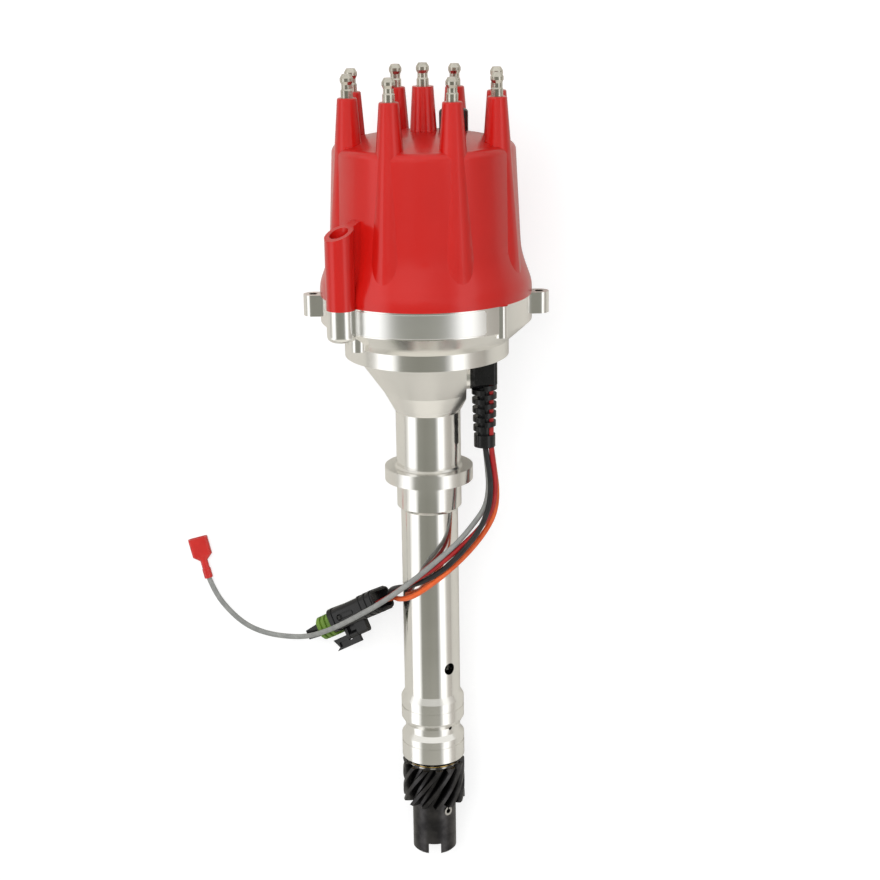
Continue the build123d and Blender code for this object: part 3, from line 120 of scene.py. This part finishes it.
def mottle(tree, place, scale, detail=3.0, rough=0.55):
    noise = tree.nodes.new("ShaderNodeTexNoise")
    noise.inputs["Scale"].default_value = scale
    noise.inputs["Detail"].default_value = detail
    noise.inputs["Roughness"].default_value = rough
    tree.links.new(place, noise.inputs["Vector"])
    return noise.outputs["Fac"]


def twoTone(tree, factor, first, second, low=0.35, high=0.65):
    ramp = tree.nodes.new("ShaderNodeValToRGB")
    ramp.color_ramp.elements[0].position = low
    ramp.color_ramp.elements[1].position = high
    ramp.color_ramp.elements[0].color = (*first, 1)
    ramp.color_ramp.elements[1].color = (*second, 1)
    tree.links.new(factor, ramp.inputs["Fac"])
    return ramp.outputs["Color"]


def stretch(tree, factor, low, high):
    reach = tree.nodes.new("ShaderNodeMapRange")
    reach.inputs["To Min"].default_value = low
    reach.inputs["To Max"].default_value = high
    tree.links.new(factor, reach.inputs["Value"])
    return reach.outputs["Result"]


def relief(tree, shader, factor, strength, distance):
    bump = tree.nodes.new("ShaderNodeBump")
    bump.inputs["Strength"].default_value = strength
    bump.inputs["Distance"].default_value = distance
    tree.links.new(factor, bump.inputs["Height"])
    tree.links.new(bump.outputs["Normal"], shader.inputs["Normal"])


def fullRamp(tree, factor, stops):
    # colour by factor, from (position, colour) pairs
    ramp = tree.nodes.new("ShaderNodeValToRGB")
    while len(ramp.color_ramp.elements) < len(stops):
        ramp.color_ramp.elements.new(0.5)
    for stop, (position, colour) in zip(ramp.color_ramp.elements, stops):
        stop.position = position
    for stop, (position, colour) in zip(ramp.color_ramp.elements, stops):
        stop.color = (*colour, 1)
    tree.links.new(factor, ramp.inputs["Fac"])
    return ramp.outputs["Color"]


def shareOf(tree, value, low, high):
    # 0 at low and 1 at high
    share = tree.nodes.new("ShaderNodeMapRange")
    share.inputs["From Min"].default_value = low
    share.inputs["From Max"].default_value = high
    tree.links.new(value, share.inputs["Value"])
    return share.outputs["Result"]


def mixShaders(tree, factor, first, second):
    mix = tree.nodes.new("ShaderNodeMixShader")
    tree.links.new(factor, mix.inputs["Fac"])
    tree.links.new(first, mix.inputs[1])
    tree.links.new(second, mix.inputs[2])
    return mix.outputs["Shader"]


def heightRamp(tree, stops):
    # value by height on the shaft, from (millimetres, value) pairs
    low, high = stops[0][0], stops[-1][0]
    parts = tree.nodes.new("ShaderNodeSeparateXYZ")
    tree.links.new(objectPlace(tree, turn=(-lean, 0, 0)), parts.inputs["Vector"])
    share = shareOf(tree, parts.outputs["Y"], low / 1000, high / 1000)
    pairs = [((height - low) / (high - low), (value, value, value)) for height, value in stops]
    return fullRamp(tree, share, pairs)


def turnedMetal(name, look):
    # bright metal with fine turning marks round the shaft axis
    finish, tree, shader = startFinish(name)
    shader.inputs["Metallic"].default_value = 1
    place = objectPlace(tree, turn=(-lean, 0, 0))
    clouds = mottle(tree, place, look["cloudScale"])
    tree.links.new(twoTone(tree, clouds, look["shade"], look["colour"]), shader.inputs["Base Color"])
    marks = objectPlace(tree, scale=(turningSpread, look["markScale"], turningSpread), turn=(-lean, 0, 0))
    lines = mottle(tree, marks, 1.0, 2.0)
    spread = stretch(tree, lines, look["rough"][0], look["rough"][1])
    if "roughByHeight" in look:
        total = tree.nodes.new("ShaderNodeMath")
        tree.links.new(spread, total.inputs[0])
        tree.links.new(heightRamp(tree, look["roughByHeight"]), total.inputs[1])
        spread = total.outputs["Value"]
    tree.links.new(spread, shader.inputs["Roughness"])
    relief(tree, shader, lines, look["relief"], turningDepth)
    return finish


def plainMetal(name, look):
    finish, tree, shader = startFinish(name)
    shader.inputs["Metallic"].default_value = 1
    place = objectPlace(tree)
    clouds = mottle(tree, place, look["cloudScale"])
    tree.links.new(twoTone(tree, clouds, look["shade"], look["colour"]), shader.inputs["Base Color"])
    tree.links.new(stretch(tree, clouds, look["rough"][0], look["rough"][1]), shader.inputs["Roughness"])
    relief(tree, shader, mottle(tree, place, look["grainScale"]), look["relief"], grainDepth)
    return finish


def moulded(name, look):
    # injection moulded plastic or rubber: soft mottling, a fine skin and a light gloss
    finish, tree, shader = startFinish(name)
    place = objectPlace(tree)
    clouds = mottle(tree, place, look["cloudScale"])
    tree.links.new(twoTone(tree, clouds, look["shade"], look["colour"]), shader.inputs["Base Color"])
    skin = mottle(tree, place, look["grainScale"], 2.0)
    tree.links.new(stretch(tree, skin, look["rough"][0], look["rough"][1]), shader.inputs["Roughness"])
    relief(tree, shader, skin, look["relief"], grainDepth)
    shader.inputs["Specular IOR Level"].default_value = look.get("gloss", 0.5)
    shader.inputs["Coat Weight"].default_value = look.get("coat", 0.0)
    shader.inputs["Coat Roughness"].default_value = look.get("coatRough", 0.15)
    if "glow" in look:
        shader.inputs["Subsurface Weight"].default_value = look["glow"]
        shader.inputs["Subsurface Radius"].default_value = glowReach
    return finish


def newMesh(name, vertices, faces, finish):
    mesh = bpy.data.meshes.new(name)
    mesh.from_pydata(vertices, [], faces)
    mesh.update()
    mesh.materials.append(finish)
    piece = bpy.data.objects.new(name, mesh)
    scene.collection.objects.link(piece)
    return piece


def dress(finish, *names):
    for name in names:
        mesh = nodes[name].data
        mesh.materials.clear()
        mesh.materials.append(finish)


# the four wires of the lead: points in millimetres from the strain relief to the plug or terminal, lengths
# in metres
wires = {
    "black": {
        "length": 0.1212, "node": "wire_black",
        "colour": (0.012, 0.012, 0.013), "shade": (0.02, 0.02, 0.021),
        "touches": ["plug_body", "plug_seal", "plug_lock", "strain_relief"],
        "points": [
            (28.2, 15.846, 3.689), (29.8, 6.4, 3.6), (30.9, -3.6, 4.9), (29.7, -14.8, 7.0),
            (24.9, -25.7, 9.4), (15.8, -36.2, 12.5), (4.5, -46.7, 12.7), (-8.9, -53.1, 11.1),
            (-20.8, -56.8, -0.9), (-20.53, -63.04, -7.37), (-27.39, -67.06, -11.57),
        ],
    },
    "red": {
        "length": 0.1221, "node": "wire_red",
        "colour": (0.36, 0.012, 0.014), "shade": (0.46, 0.02, 0.02),
        "touches": ["plug_body"],
        "points": [
            (31.2, 15.846, 3.689), (32.3, 5.5, 2.2), (33.3, -5.2, 2.2), (31.5, -16.1, 3.4),
            (25.6, -24.9, 5.2), (17.4, -32.3, 8.1), (9.3, -38.4, 11.9), (1.0, -44.6, 13.0),
            (-7.8, -49.7, 12.7), (-16.7, -56.0, 9.9), (-22.19, -63.05, -4.63), (-29.06, -67.07, -8.83),
        ],
    },
    "orange": {
        "length": 0.1284, "node": "wire_orange",
        "colour": (0.78, 0.11, 0.02), "shade": (0.86, 0.15, 0.035),
        "touches": ["plug_body"],
        "points": [
            (31.2, 16.254, 0.717), (32.6, 5.6, -1.1), (34.3, -8.7, -1.6), (32.6, -19.4, 0.6),
            (27.1, -28.4, 3.8), (18.9, -37.6, 6.8), (9.8, -45.3, 10.6), (0.6, -52.2, 12.1),
            (-9.4, -59.3, 9.8), (-16.5, -61.2, 5.4), (-18.87, -63.02, -10.10), (-25.73, -67.04, -14.30),
        ],
    },
    "gray": {
        "length": 0.2359, "node": "wire_gray",
        "colour": (0.26, 0.265, 0.255), "shade": (0.33, 0.335, 0.32),
        "touches": ["terminal_sleeve", "terminal_clip"],
        "points": [
            (28.2, 16.254, 0.717), (29.3, 5.2, -0.6), (30.0, -5.4, -0.4), (28.3, -14.7, 2.0),
            (23.0, -21.8, 5.2), (14.4, -31.0, 10.5), (3.9, -39.4, 14.4), (-6.2, -47.3, 16.0),
            (-16.0, -55.2, 13.1), (-25.7, -62.9, 7.2), (-38.2, -71.5, -0.8), (-51.0, -80.3, -11.8),
            (-64.1, -87.8, -26.2), (-75.6, -90.2, -36.2), (-87.7, -88.7, -38.4), (-98.1, -84.0, -38.42),
            (-106.8, -75.9, -38.42), (-113.6, -66.4, -37.9), (-116.7, -57.9, -37.5),
        ],
    },
}
wireForm = {"radius": 0.00135, "roundness": 5, "steps": 10, "order": 3}  # radius in metres
insulation = {"cloudScale": 220, "grainScale": 900, "rough": (0.34, 0.5), "relief": 0.15, "gloss": 0.5}


def layWire(name, wire):
    curve = bpy.data.curves.new(name + "Wire", "CURVE")
    curve.dimensions = "3D"
    curve.bevel_depth = wireForm["radius"]
    curve.bevel_resolution = wireForm["roundness"]
    curve.resolution_u = wireForm["steps"]
    curve.use_fill_caps = True
    spline = curve.splines.new("NURBS")
    spline.points.add(len(wire["points"]) - 1)
    for knot, point in zip(spline.points, wire["points"]):
        knot.co = (*(value / 1000 for value in point), 1)
    spline.order_u = wireForm["order"]
    spline.use_endpoint_u = True
    piece = bpy.data.objects.new(name + "Wire", curve)
    scene.collection.objects.link(piece)
    look = dict(insulation, colour=wire["colour"], shade=wire["shade"])
    curve.materials.append(moulded(name + "Insulation", look))
    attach(piece, "housing")
    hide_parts(wire["node"])
    return piece


laid = {name: layWire(name, wire) for name, wire in wires.items()}
print("wires laid")

# housing: polished aluminium, duller by these (height in millimetres, added roughness) pairs
housingLook = {
    "colour": (0.88, 0.87, 0.845), "shade": (0.82, 0.81, 0.785), "cloudScale": 30, "markScale": 2600,
    "rough": (0.1, 0.17), "relief": 0.1,
    "roughByHeight": [
        (-155, 0.04), (-136, 0.06), (-117, 0.03), (-115, 0.0), (-14, 0.0), (-1, 0.08), (8, 0.1), (9, 0.02),
        (34, 0.02), (37, 0.16), (63, 0.16), (64, 0.05), (72, 0.05), (83, 0.05), (96, 0.03),
    ],
}
dress(turnedMetal("polishedAluminium", housingLook), "housing")

# cap and rotor: red moulded plastic
capLook = {
    "colour": (0.59, 0.009, 0.006), "shade": (0.55, 0.008, 0.005), "cloudScale": 18, "grainScale": 420,
    "rough": (0.26, 0.34), "relief": 0.1, "gloss": 0.32, "coat": 0.5, "coatRough": 0.1,
}
dress(moulded("redCapPlastic", capLook), "cap")
rotorLook = dict(capLook, colour=(0.42, 0.02, 0.015), shade=(0.38, 0.016, 0.012))
dress(moulded("rotorPlastic", rotorLook), "rotor")

# terminals: bright nickel
nickelLook = {
    "colour": (0.66, 0.63, 0.56), "shade": (0.5, 0.475, 0.42), "cloudScale": 160, "grainScale": 900,
    "rough": (0.16, 0.3), "relief": 0.2,
}
nickel = plainMetal("brightNickel", nickelLook)
dress(nickel, *[f"plug_terminal_{count}" for count in range(1, 9)], "coil_terminal")

# plug, strain relief and module: black plastic
blackLook = {
    "colour": (0.008, 0.008, 0.0085), "shade": (0.013, 0.013, 0.0135), "cloudScale": 120, "grainScale": 700,
    "rough": (0.18, 0.3), "relief": 0.15, "gloss": 0.32, "coat": 0.1,
}
blackPlastic = moulded("blackPlastic", blackLook)
dress(blackPlastic, "plug_body", "plug_lock", "strain_relief", "cap_vent", "pickup_coil", "ignition_module")

# green seal and red sleeve
sealLook = {
    "colour": (0.16, 0.28, 0.035), "shade": (0.12, 0.22, 0.03), "cloudScale": 150, "grainScale": 600,
    "rough": (0.45, 0.6), "relief": 0.2,
}
dress(moulded("greenSealRubber", sealLook), "plug_seal")
sleeveLook = {
    "colour": (0.68, 0.03, 0.024), "shade": (0.6, 0.022, 0.018), "cloudScale": 120, "grainScale": 500,
    "rough": (0.28, 0.4), "relief": 0.15, "coat": 0.2, "glow": 0.15,
}
dress(moulded("redSleeveVinyl", sleeveLook), "terminal_sleeve")

# ground, plated and spring steel
steelLook = {
    "colour": (0.6, 0.59, 0.57), "shade": (0.48, 0.47, 0.45), "cloudScale": 140, "grainScale": 1200,
    "rough": (0.2, 0.34), "relief": 0.15,
}
groundSteel = plainMetal("groundSteel", steelLook)
dress(
    groundSteel, "bearing_outer_race", "bearing_inner_race", "bearing_balls", "steel_washer", "reluctor",
    "pickup_plate", "pickup_pole", "pickup_screws", "module_screws", "rotor_screws", "roll_pin",
)
platedLook = dict(steelLook, colour=(0.62, 0.55, 0.38), shade=(0.5, 0.43, 0.28))
zincPlate = plainMetal("zincPlate", platedLook)
dress(zincPlate, "advance_plate", "advance_cam", "advance_weight_1", "advance_weight_2")
screwLook = dict(steelLook, colour=(0.3, 0.3, 0.31), shade=(0.2, 0.2, 0.21))
dress(plainMetal("screwSteel", screwLook), "cap_screws")
springLook = dict(steelLook, colour=(0.42, 0.42, 0.43), shade=(0.34, 0.34, 0.35))
springSteel = plainMetal("springSteel", springLook)
dress(springSteel, "advance_spring_1", "advance_spring_2", "brush_spring", "spindle_clip")
shaftLook = dict(housingLook, colour=(0.6, 0.6, 0.59), shade=(0.52, 0.52, 0.5), rough=(0.14, 0.24))
dress(turnedMetal("groundShaft", shaftLook), "shaft")

# drive gear: dark oxide over machined iron
gearLook = {
    "colour": (0.035, 0.034, 0.036), "shade": (0.075, 0.072, 0.074), "cloudScale": 130, "grainScale": 1400,
    "rough": (0.25, 0.42), "relief": 0.3,
}
dress(plainMetal("gearOxide", gearLook), "drive_gear")

# brass, bronze and the brush's carbon
brassLook = {
    "colour": (0.72, 0.5, 0.17), "shade": (0.6, 0.4, 0.13), "cloudScale": 140, "grainScale": 1000,
    "rough": (0.2, 0.34), "relief": 0.15,
}
brass = plainMetal("brass", brassLook)
dress(brass, "bronze_washer", "rotor_blade", "rotor_contact", "terminal_clip", "stop_bushing")
bushingLook = dict(brassLook, colour=(0.5, 0.32, 0.15), shade=(0.42, 0.26, 0.12))
dress(plainMetal("oiledBronze", bushingLook), "lower_bushing")
brushLook = dict(blackLook, rough=(0.55, 0.7), coat=0.0)
dress(moulded("brushCarbon", brushLook), "carbon_brush")
print("finishes set")

# bare label plate on the bowl's upper ring, in millimetres and degrees
plate = {
    "radius": 51.62, "thick": 0.22, "from": -40.7, "to": 33.0, "low": 82.9, "high": 94.4, "corner": 1.1,
    "leastCorner": 0.2, "sunk": 0.35, "wallShare": 0.6, "bevel": 0.18, "steps": 72,
    "look": {
        "colour": (0.93, 0.93, 0.92), "shade": (0.9, 0.9, 0.89), "cloudScale": 60, "grainScale": 260,
        "rough": (0.27, 0.32), "relief": 0.05,
    },
}


def plateOutline(inset):
    # (arc length, height) pairs round the plate, with round corners
    half = math.radians(plate["to"] - plate["from"]) * plate["radius"] / 2 - inset
    low, high = plate["low"] + inset, plate["high"] - inset
    corner = max(plate["corner"] - inset, plate["leastCorner"])
    columns = []
    for step in range(plate["steps"] + 1):
        along = -half + 2 * half * step / plate["steps"]
        near = half - abs(along)
        drop = corner - math.sqrt(max(corner ** 2 - (corner - near) ** 2, 0)) if near < corner else 0
        columns.append((along, low + drop, high - drop))
    return columns


def makeLabelPlate():
    middle = (plate["from"] + plate["to"]) / 2
    vertices, faces = [], []
    layers = (
        (0.0, plate["radius"] - plate["sunk"]),
        (0.0, plate["radius"] + plate["thick"] * plate["wallShare"]),
        (plate["bevel"], plate["radius"] + plate["thick"]),
    )
    for inset, radius in layers:
        for along, low, high in plateOutline(inset):
            turn = middle + math.degrees(along / plate["radius"])
            vertices.append(onShaft(radius, turn, low))
            vertices.append(onShaft(radius, turn, high))
    count = plate["steps"] + 1
    for step in range(plate["steps"]):
        top = 2 * (2 * count + step)
        faces.append((top, top + 2, top + 3, top + 1))
        for layer in range(2):
            here, above = 2 * (layer * count + step), 2 * ((layer + 1) * count + step)
            faces.append((here, here + 2, above + 2, above))
            faces.append((here + 1, above + 1, above + 3, here + 3))
    for layer in range(2):
        for end in (0, plate["steps"]):
            here, above = 2 * (layer * count + end), 2 * ((layer + 1) * count + end)
            faces.append((here, above, above + 1, here + 1))
    piece = newMesh("labelPlate", vertices, faces, plainMetal("labelFoil", plate["look"]))
    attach(piece, "housing")


makeLabelPlate()
print("label plate made")

# moulded detail on the plug, in millimetres in its own frame: x towards the lock flap, y up, z from the
# wire end to the nose; a band is (start, end, how proud)
plug = {
    "end": (-24.34, -65.27, -9.7), "axis": (-0.763, -0.447, -0.467), "roll": 15,
    "middle": -1.25, "halfWidth": 5.75, "halfHeight": 8.5, "corner": 2.6, "cornerSteps": 6,
    "bands": [(1.2, 2.6, 0.5), (5.0, 6.4, 0.5), (8.8, 10.2, 0.45), (27.8, 30.6, 0.55)], "bandSunk": 0.3,
    "bandEdge": 0.2, "edge": 0.18,
    "tongue": {
        "halfWidth": 1.1,
        "profile": [(7.4, 15.2), (8.1, 15.2), (8.6, 21.8), (9.2, 22.8), (8.4, 25.0), (7.4, 25.0)],  # y and z
    },
    "hingeWeb": {"from": (4.3, -0.6, 21.5), "to": (7.6, 0.2, 29.2)},
    "windowWeb": {"from": (10.2, -0.65, 30.4), "to": (13.2, -0.15, 36.2)},
}
plugAxis = Vector(plug["axis"]).normalized()
plugRoll = Matrix.Rotation(math.radians(plug["roll"]), 3, plugAxis)
plugSide = plugRoll @ Vector((0, 0, 1)).cross(plugAxis).normalized()
plugUp = plugAxis.cross(plugSide)


def onPlug(x, y, z):
    return (Vector(plug["end"]) + plugSide * x + plugUp * y + plugAxis * z) / 1000


def bandLoop(grow, z):
    # a round-cornered rectangle round the plug, grown outwards
    corner = plug["corner"] + grow
    points = []
    for quarter, (sideways, upward) in enumerate(((1, 1), (-1, 1), (-1, -1), (1, -1))):
        x = plug["middle"] + sideways * (plug["halfWidth"] - plug["corner"])
        y = upward * (plug["halfHeight"] - plug["corner"])
        for step in range(plug["cornerSteps"] + 1):
            turn = math.radians(90 * (quarter + step / plug["cornerSteps"]))
            points.append(onPlug(x + corner * math.cos(turn), y + corner * math.sin(turn), z))
    return points


def plugPiece(name, vertices, faces, body):
    piece = newMesh(name, vertices, faces, blackPlastic)
    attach(piece, body)
    return piece


def plugBand(number, start, end, proud):
    # a raised band with rounded edges, its back sunk into the plug's wall
    sunk, edge = -plug["bandSunk"], plug["bandEdge"]
    rows = (
        (sunk, start), (proud - edge, start), (proud, start + edge),
        (proud, end - edge), (proud - edge, end), (sunk, end),
    )
    loops = [bandLoop(grow, z) for grow, z in rows]
    count = len(loops[0])
    faces = []
    for row in range(len(rows)):
        here, after = row * count, (row + 1) % len(rows) * count
        for step in range(count):
            beside = (step + 1) % count
            faces.append((here + step, here + beside, after + beside, after + step))
    plugPiece(f"plugBand{number}", [point for loop in loops for point in loop], faces, "housing")


def plugBlock(name, corners, faces, body):
    piece = plugPiece(name, [onPlug(*corner) for corner in corners], faces, body)
    softEdge = piece.modifiers.new("softEdge", "BEVEL")
    softEdge.width = plug["edge"] / 1000
    softEdge.segments = 2


boxFaces = [(0, 3, 2, 1), (4, 5, 6, 7), (0, 1, 5, 4), (1, 2, 6, 5), (2, 3, 7, 6), (3, 0, 4, 7)]


def boxCorners(low, high):
    base = [(low[0], low[1]), (high[0], low[1]), (high[0], high[1]), (low[0], high[1])]
    return [(x, y, z) for z in (low[2], high[2]) for x, y in base]


for number, band in enumerate(plug["bands"], 1):
    plugBand(number, *band)
tongue = plug["tongue"]
tongueSides = (plug["middle"] - tongue["halfWidth"], plug["middle"] + tongue["halfWidth"])
tongueCorners = [(x, y, z) for x in tongueSides for y, z in tongue["profile"]]
tongueCount = len(tongue["profile"])
tongueFaces = [tuple(range(tongueCount)), tuple(range(2 * tongueCount - 1, tongueCount - 1, -1))]
for step in range(tongueCount):
    beside = (step + 1) % tongueCount
    tongueFaces.append((step, step + tongueCount, beside + tongueCount, beside))
plugBlock("plugTongue", tongueCorners, tongueFaces, "housing")
for name, body in (("hingeWeb", "housing"), ("windowWeb", "plug_lock")):
    plugBlock(name, boxCorners(plug[name]["from"], plug[name]["to"]), boxFaces, body)
print("plug detailed")

# coil springs, in millimetres and degrees: one for the brush and two for the advance;
# post and camPost are (radius, turn), and eye is the loop round a post
brushCoil = {
    "coils": 7, "radius": 2.5, "wire": 0.4, "low": 162.05, "high": 169.75, "pocket": 170.2, "kept": 0.75,
}
advanceCoil = {
    "coils": 8, "radius": 1.9, "wire": 0.42, "height": 105.4, "eye": 1.85,
    "post": (24.0, 200.0), "camPost": (15.0, 255.0),
}
coilSides, coilSteps = 8, 20  # round the wire, and round each turn


def circleWay(across, square, step, steps):
    turn = 2 * math.pi * step / steps
    return across * math.cos(turn) + square * math.sin(turn)


def coilPoints(start, end, coils, radius):
    across = (end - start).orthogonal().normalized()
    square = (end - start).normalized().cross(across)
    total = coils * coilSteps
    return [
        start.lerp(end, step / total) + circleWay(across, square, step, coilSteps) * radius
        for step in range(total + 1)
    ]


def wireSkin(points, radius):
    # vertices and faces of a round wire along the points
    vertices, faces = [], []
    side = (points[1] - points[0]).orthogonal()
    for here, point in enumerate(points):
        ahead = (points[min(here + 1, len(points) - 1)] - points[max(here - 1, 0)]).normalized()
        side = (side - ahead * side.dot(ahead)).normalized()
        square = ahead.cross(side)
        vertices += [point + circleWay(side, square, step, coilSides) * radius for step in range(coilSides)]
    for here in range(0, len(vertices) - coilSides, coilSides):
        after = here + coilSides
        for step in range(coilSides):
            beside = (step + 1) % coilSides
            faces.append((here + step, here + beside, after + beside, after + step))
    faces.append(tuple(range(coilSides - 1, -1, -1)))
    faces.append(tuple(range(len(vertices) - coilSides, len(vertices))))
    return vertices, faces


def wound(name, paths, wire):
    vertices, faces = [], []
    for path in paths:
        more, moreFaces = wireSkin(path, wire / 1000)
        faces += [tuple(index + len(vertices) for index in face) for face in moreFaces]
        vertices += more
    coil = newMesh(name, vertices, faces, springSteel)
    coil.data.shade_smooth()
    return coil


springLow, springHigh = onShaft(0, 0, brushCoil["low"]), onShaft(0, 0, brushCoil["high"])
brushPath = coilPoints(springLow, springHigh, brushCoil["coils"], brushCoil["radius"] / 1000)
brushSpring = wound("brushSpring", [brushPath], brushCoil["wire"])
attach(brushSpring, "housing")
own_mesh(brushSpring)
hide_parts("brush_spring")
for number, opposite in ((1, 0), (2, 180)):
    post, camPost = (
        onShaft(radius, turn + opposite, advanceCoil["height"])
        for radius, turn in (advanceCoil["post"], advanceCoil["camPost"])
    )
    eye = advanceCoil["eye"] / 1000
    toCam = (camPost - post).normalized()
    inward = shaftWay.cross(toCam)
    first, last = post + toCam * eye, camPost - toCam * eye
    paths = [coilPoints(first, last, advanceCoil["coils"], advanceCoil["radius"] / 1000)]
    for middle in (post, camPost):
        loop = [middle + circleWay(toCam, inward, step, coilSteps) * eye for step in range(coilSteps + 1)]
        paths.append(loop)
    advanceSpring = wound(f"advanceSpring{number}", paths, advanceCoil["wire"])
    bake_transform(advanceSpring)
    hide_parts(f"advance_spring_{number}")
print("springs wound")

# the red wire where it shows between the strain relief's ribs
innerWire = {"side": 31.2, "up": 1.5, "low": 18.0, "high": 49.5, "roundness": 4}  # millimetres on the shaft
innerCurve = bpy.data.curves.new("innerRedWire", "CURVE")
innerCurve.dimensions = "3D"
innerCurve.bevel_depth = wireForm["radius"]
innerCurve.bevel_resolution = innerWire["roundness"]
innerCurve.use_fill_caps = True
innerSpline = innerCurve.splines.new("POLY")
innerSpline.points.add(1)
innerPlace = Vector((innerWire["side"], 0, 0)) - downWay * innerWire["up"]
for knot, height in zip(innerSpline.points, (innerWire["low"], innerWire["high"])):
    knot.co = (*((innerPlace + shaftWay * height) / 1000), 1)
innerPiece = bpy.data.objects.new("innerRedWire", innerCurve)
scene.collection.objects.link(innerPiece)
innerCurve.materials.append(laid["red"].data.materials[0])
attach(innerPiece, "housing")
print("strain relief detailed")

# floor: white to the camera, and a little darker where the metal mirrors it
floorLook = {
    "size": 4.0, "height": -0.039953, "colour": (0.86, 0.855, 0.84), "rough": 0.9, "gloss": 0.1,
    "mirrored": (0.72, 0.7, 0.64), "seen": (0.4, 0.4, 0.4), "glow": 0.72,
}
bpy.ops.mesh.primitive_plane_add(size=floorLook["size"], location=(0, 0, floorLook["height"]))
floor = bpy.context.object
floor.name = "floor"
floorFinish, floorTree, floorShader = startFinish("paleFloor")
floorShader.inputs["Base Color"].default_value = (*floorLook["colour"], 1)
floorShader.inputs["Roughness"].default_value = floorLook["rough"]
floorShader.inputs["Specular IOR Level"].default_value = floorLook["gloss"]
seenShade = floorTree.nodes.new("ShaderNodeBsdfDiffuse")
seenShade.inputs["Color"].default_value = (*floorLook["seen"], 1)
seenGlow = floorTree.nodes.new("ShaderNodeEmission")
seenGlow.inputs["Strength"].default_value = floorLook["glow"]
seenSum = floorTree.nodes.new("ShaderNodeAddShader")
floorTree.links.new(seenShade.outputs["BSDF"], seenSum.inputs[0])
floorTree.links.new(seenGlow.outputs["Emission"], seenSum.inputs[1])
mirroredShade = floorTree.nodes.new("ShaderNodeBsdfDiffuse")
mirroredShade.inputs["Color"].default_value = (*floorLook["mirrored"], 1)
floorPath = floorTree.nodes.new("ShaderNodeLightPath")
mirrorMix = mixShaders(
    floorTree, floorPath.outputs["Is Glossy Ray"], floorShader.outputs["BSDF"], mirroredShade.outputs["BSDF"],
)
floorSurface = mixShaders(floorTree, floorPath.outputs["Is Camera Ray"], mirrorMix, seenSum.outputs["Shader"])
floorTree.links.new(floorSurface, floorTree.nodes["Material Output"].inputs["Surface"])
floor.data.materials.append(floorFinish)

# soft lamps that leave no square spots on the metal
lamps = {
    "key": {"place": (-0.45, 0.4, 1.2), "size": 0.9, "power": 9.4},
    "fill": {"place": (0.3, 0.2, 1.35), "size": 0.8, "power": 3.4},
}
for name, lamp in lamps.items():
    light = bpy.data.lights.new(name, "AREA")
    light.size = lamp["size"]
    light.energy = lamp["power"]
    piece = bpy.data.objects.new(name, light)
    scene.collection.objects.link(piece)
    piece.location = lamp["place"]
    piece.visible_glossy = False
    piece.rotation_euler = (-Vector(lamp["place"])).to_track_quat("-Z", "Y").to_euler()

# the sky as metal sees it: bright bands to the sides and a gray ceiling between them; white to the camera
sky = {
    "plain": (1, 1, 1), "strength": 0.45, "seen": (1, 1, 1), "bandStrength": 1.5,
    "bands": [
        (0.0, (0.34, 0.33, 0.3)), (0.022, (0.44, 0.43, 0.4)), (0.04, (0.9, 0.9, 0.89)),
        (0.12, (0.96, 0.96, 0.95)), (0.16, (0.66, 0.66, 0.64)), (0.2, (0.2, 0.2, 0.175)),
        (0.42, (0.17, 0.17, 0.145)), (0.62, (0.19, 0.19, 0.165)), (0.7, (0.19, 0.19, 0.17)),
        (0.765, (0.5, 0.5, 0.49)), (0.79, (0.96, 0.96, 0.95)), (0.885, (0.9, 0.9, 0.88)),
        (0.93, (0.4, 0.38, 0.35)), (1.0, (0.26, 0.245, 0.22)),
    ],
    "low": (0.62, 0.6, 0.55), "lowFrom": -0.5, "lowTo": -0.75,
    "high": (0.64, 0.635, 0.61), "highFrom": 0.3, "highTo": 0.6,
}
world = bpy.data.worlds.new("studio")
scene.world = world
world.use_nodes = True
skyTree = world.node_tree
plain = skyTree.nodes["Background"]
plain.inputs["Color"].default_value = (*sky["plain"], 1)
plain.inputs["Strength"].default_value = sky["strength"]
way = skyTree.nodes.new("ShaderNodeTexCoord")
parts = skyTree.nodes.new("ShaderNodeSeparateXYZ")
skyTree.links.new(way.outputs["Generated"], parts.inputs["Vector"])
shade = fullRamp(skyTree, shareOf(skyTree, parts.outputs["X"], -1, 1), sky["bands"])
for end in ("low", "high"):
    share = shareOf(skyTree, parts.outputs["Y"], sky[end + "From"], sky[end + "To"])
    endMix = skyTree.nodes.new("ShaderNodeMixRGB")
    endMix.inputs["Color2"].default_value = (*sky[end], 1)
    skyTree.links.new(share, endMix.inputs["Fac"])
    skyTree.links.new(shade, endMix.inputs["Color1"])
    shade = endMix.outputs["Color"]
banded = skyTree.nodes.new("ShaderNodeBackground")
banded.inputs["Strength"].default_value = sky["bandStrength"]
skyTree.links.new(shade, banded.inputs["Color"])
white = skyTree.nodes.new("ShaderNodeBackground")
white.inputs["Color"].default_value = (*sky["seen"], 1)
path = skyTree.nodes.new("ShaderNodeLightPath")
lit = mixShaders(
    skyTree, path.outputs["Is Glossy Ray"], plain.outputs["Background"], banded.outputs["Background"],
)
skySurface = mixShaders(skyTree, path.outputs["Is Camera Ray"], lit, white.outputs["Background"])
skyTree.links.new(skySurface, skyTree.nodes["World Output"].inputs["Surface"])
print("floor, lamps and sky set")
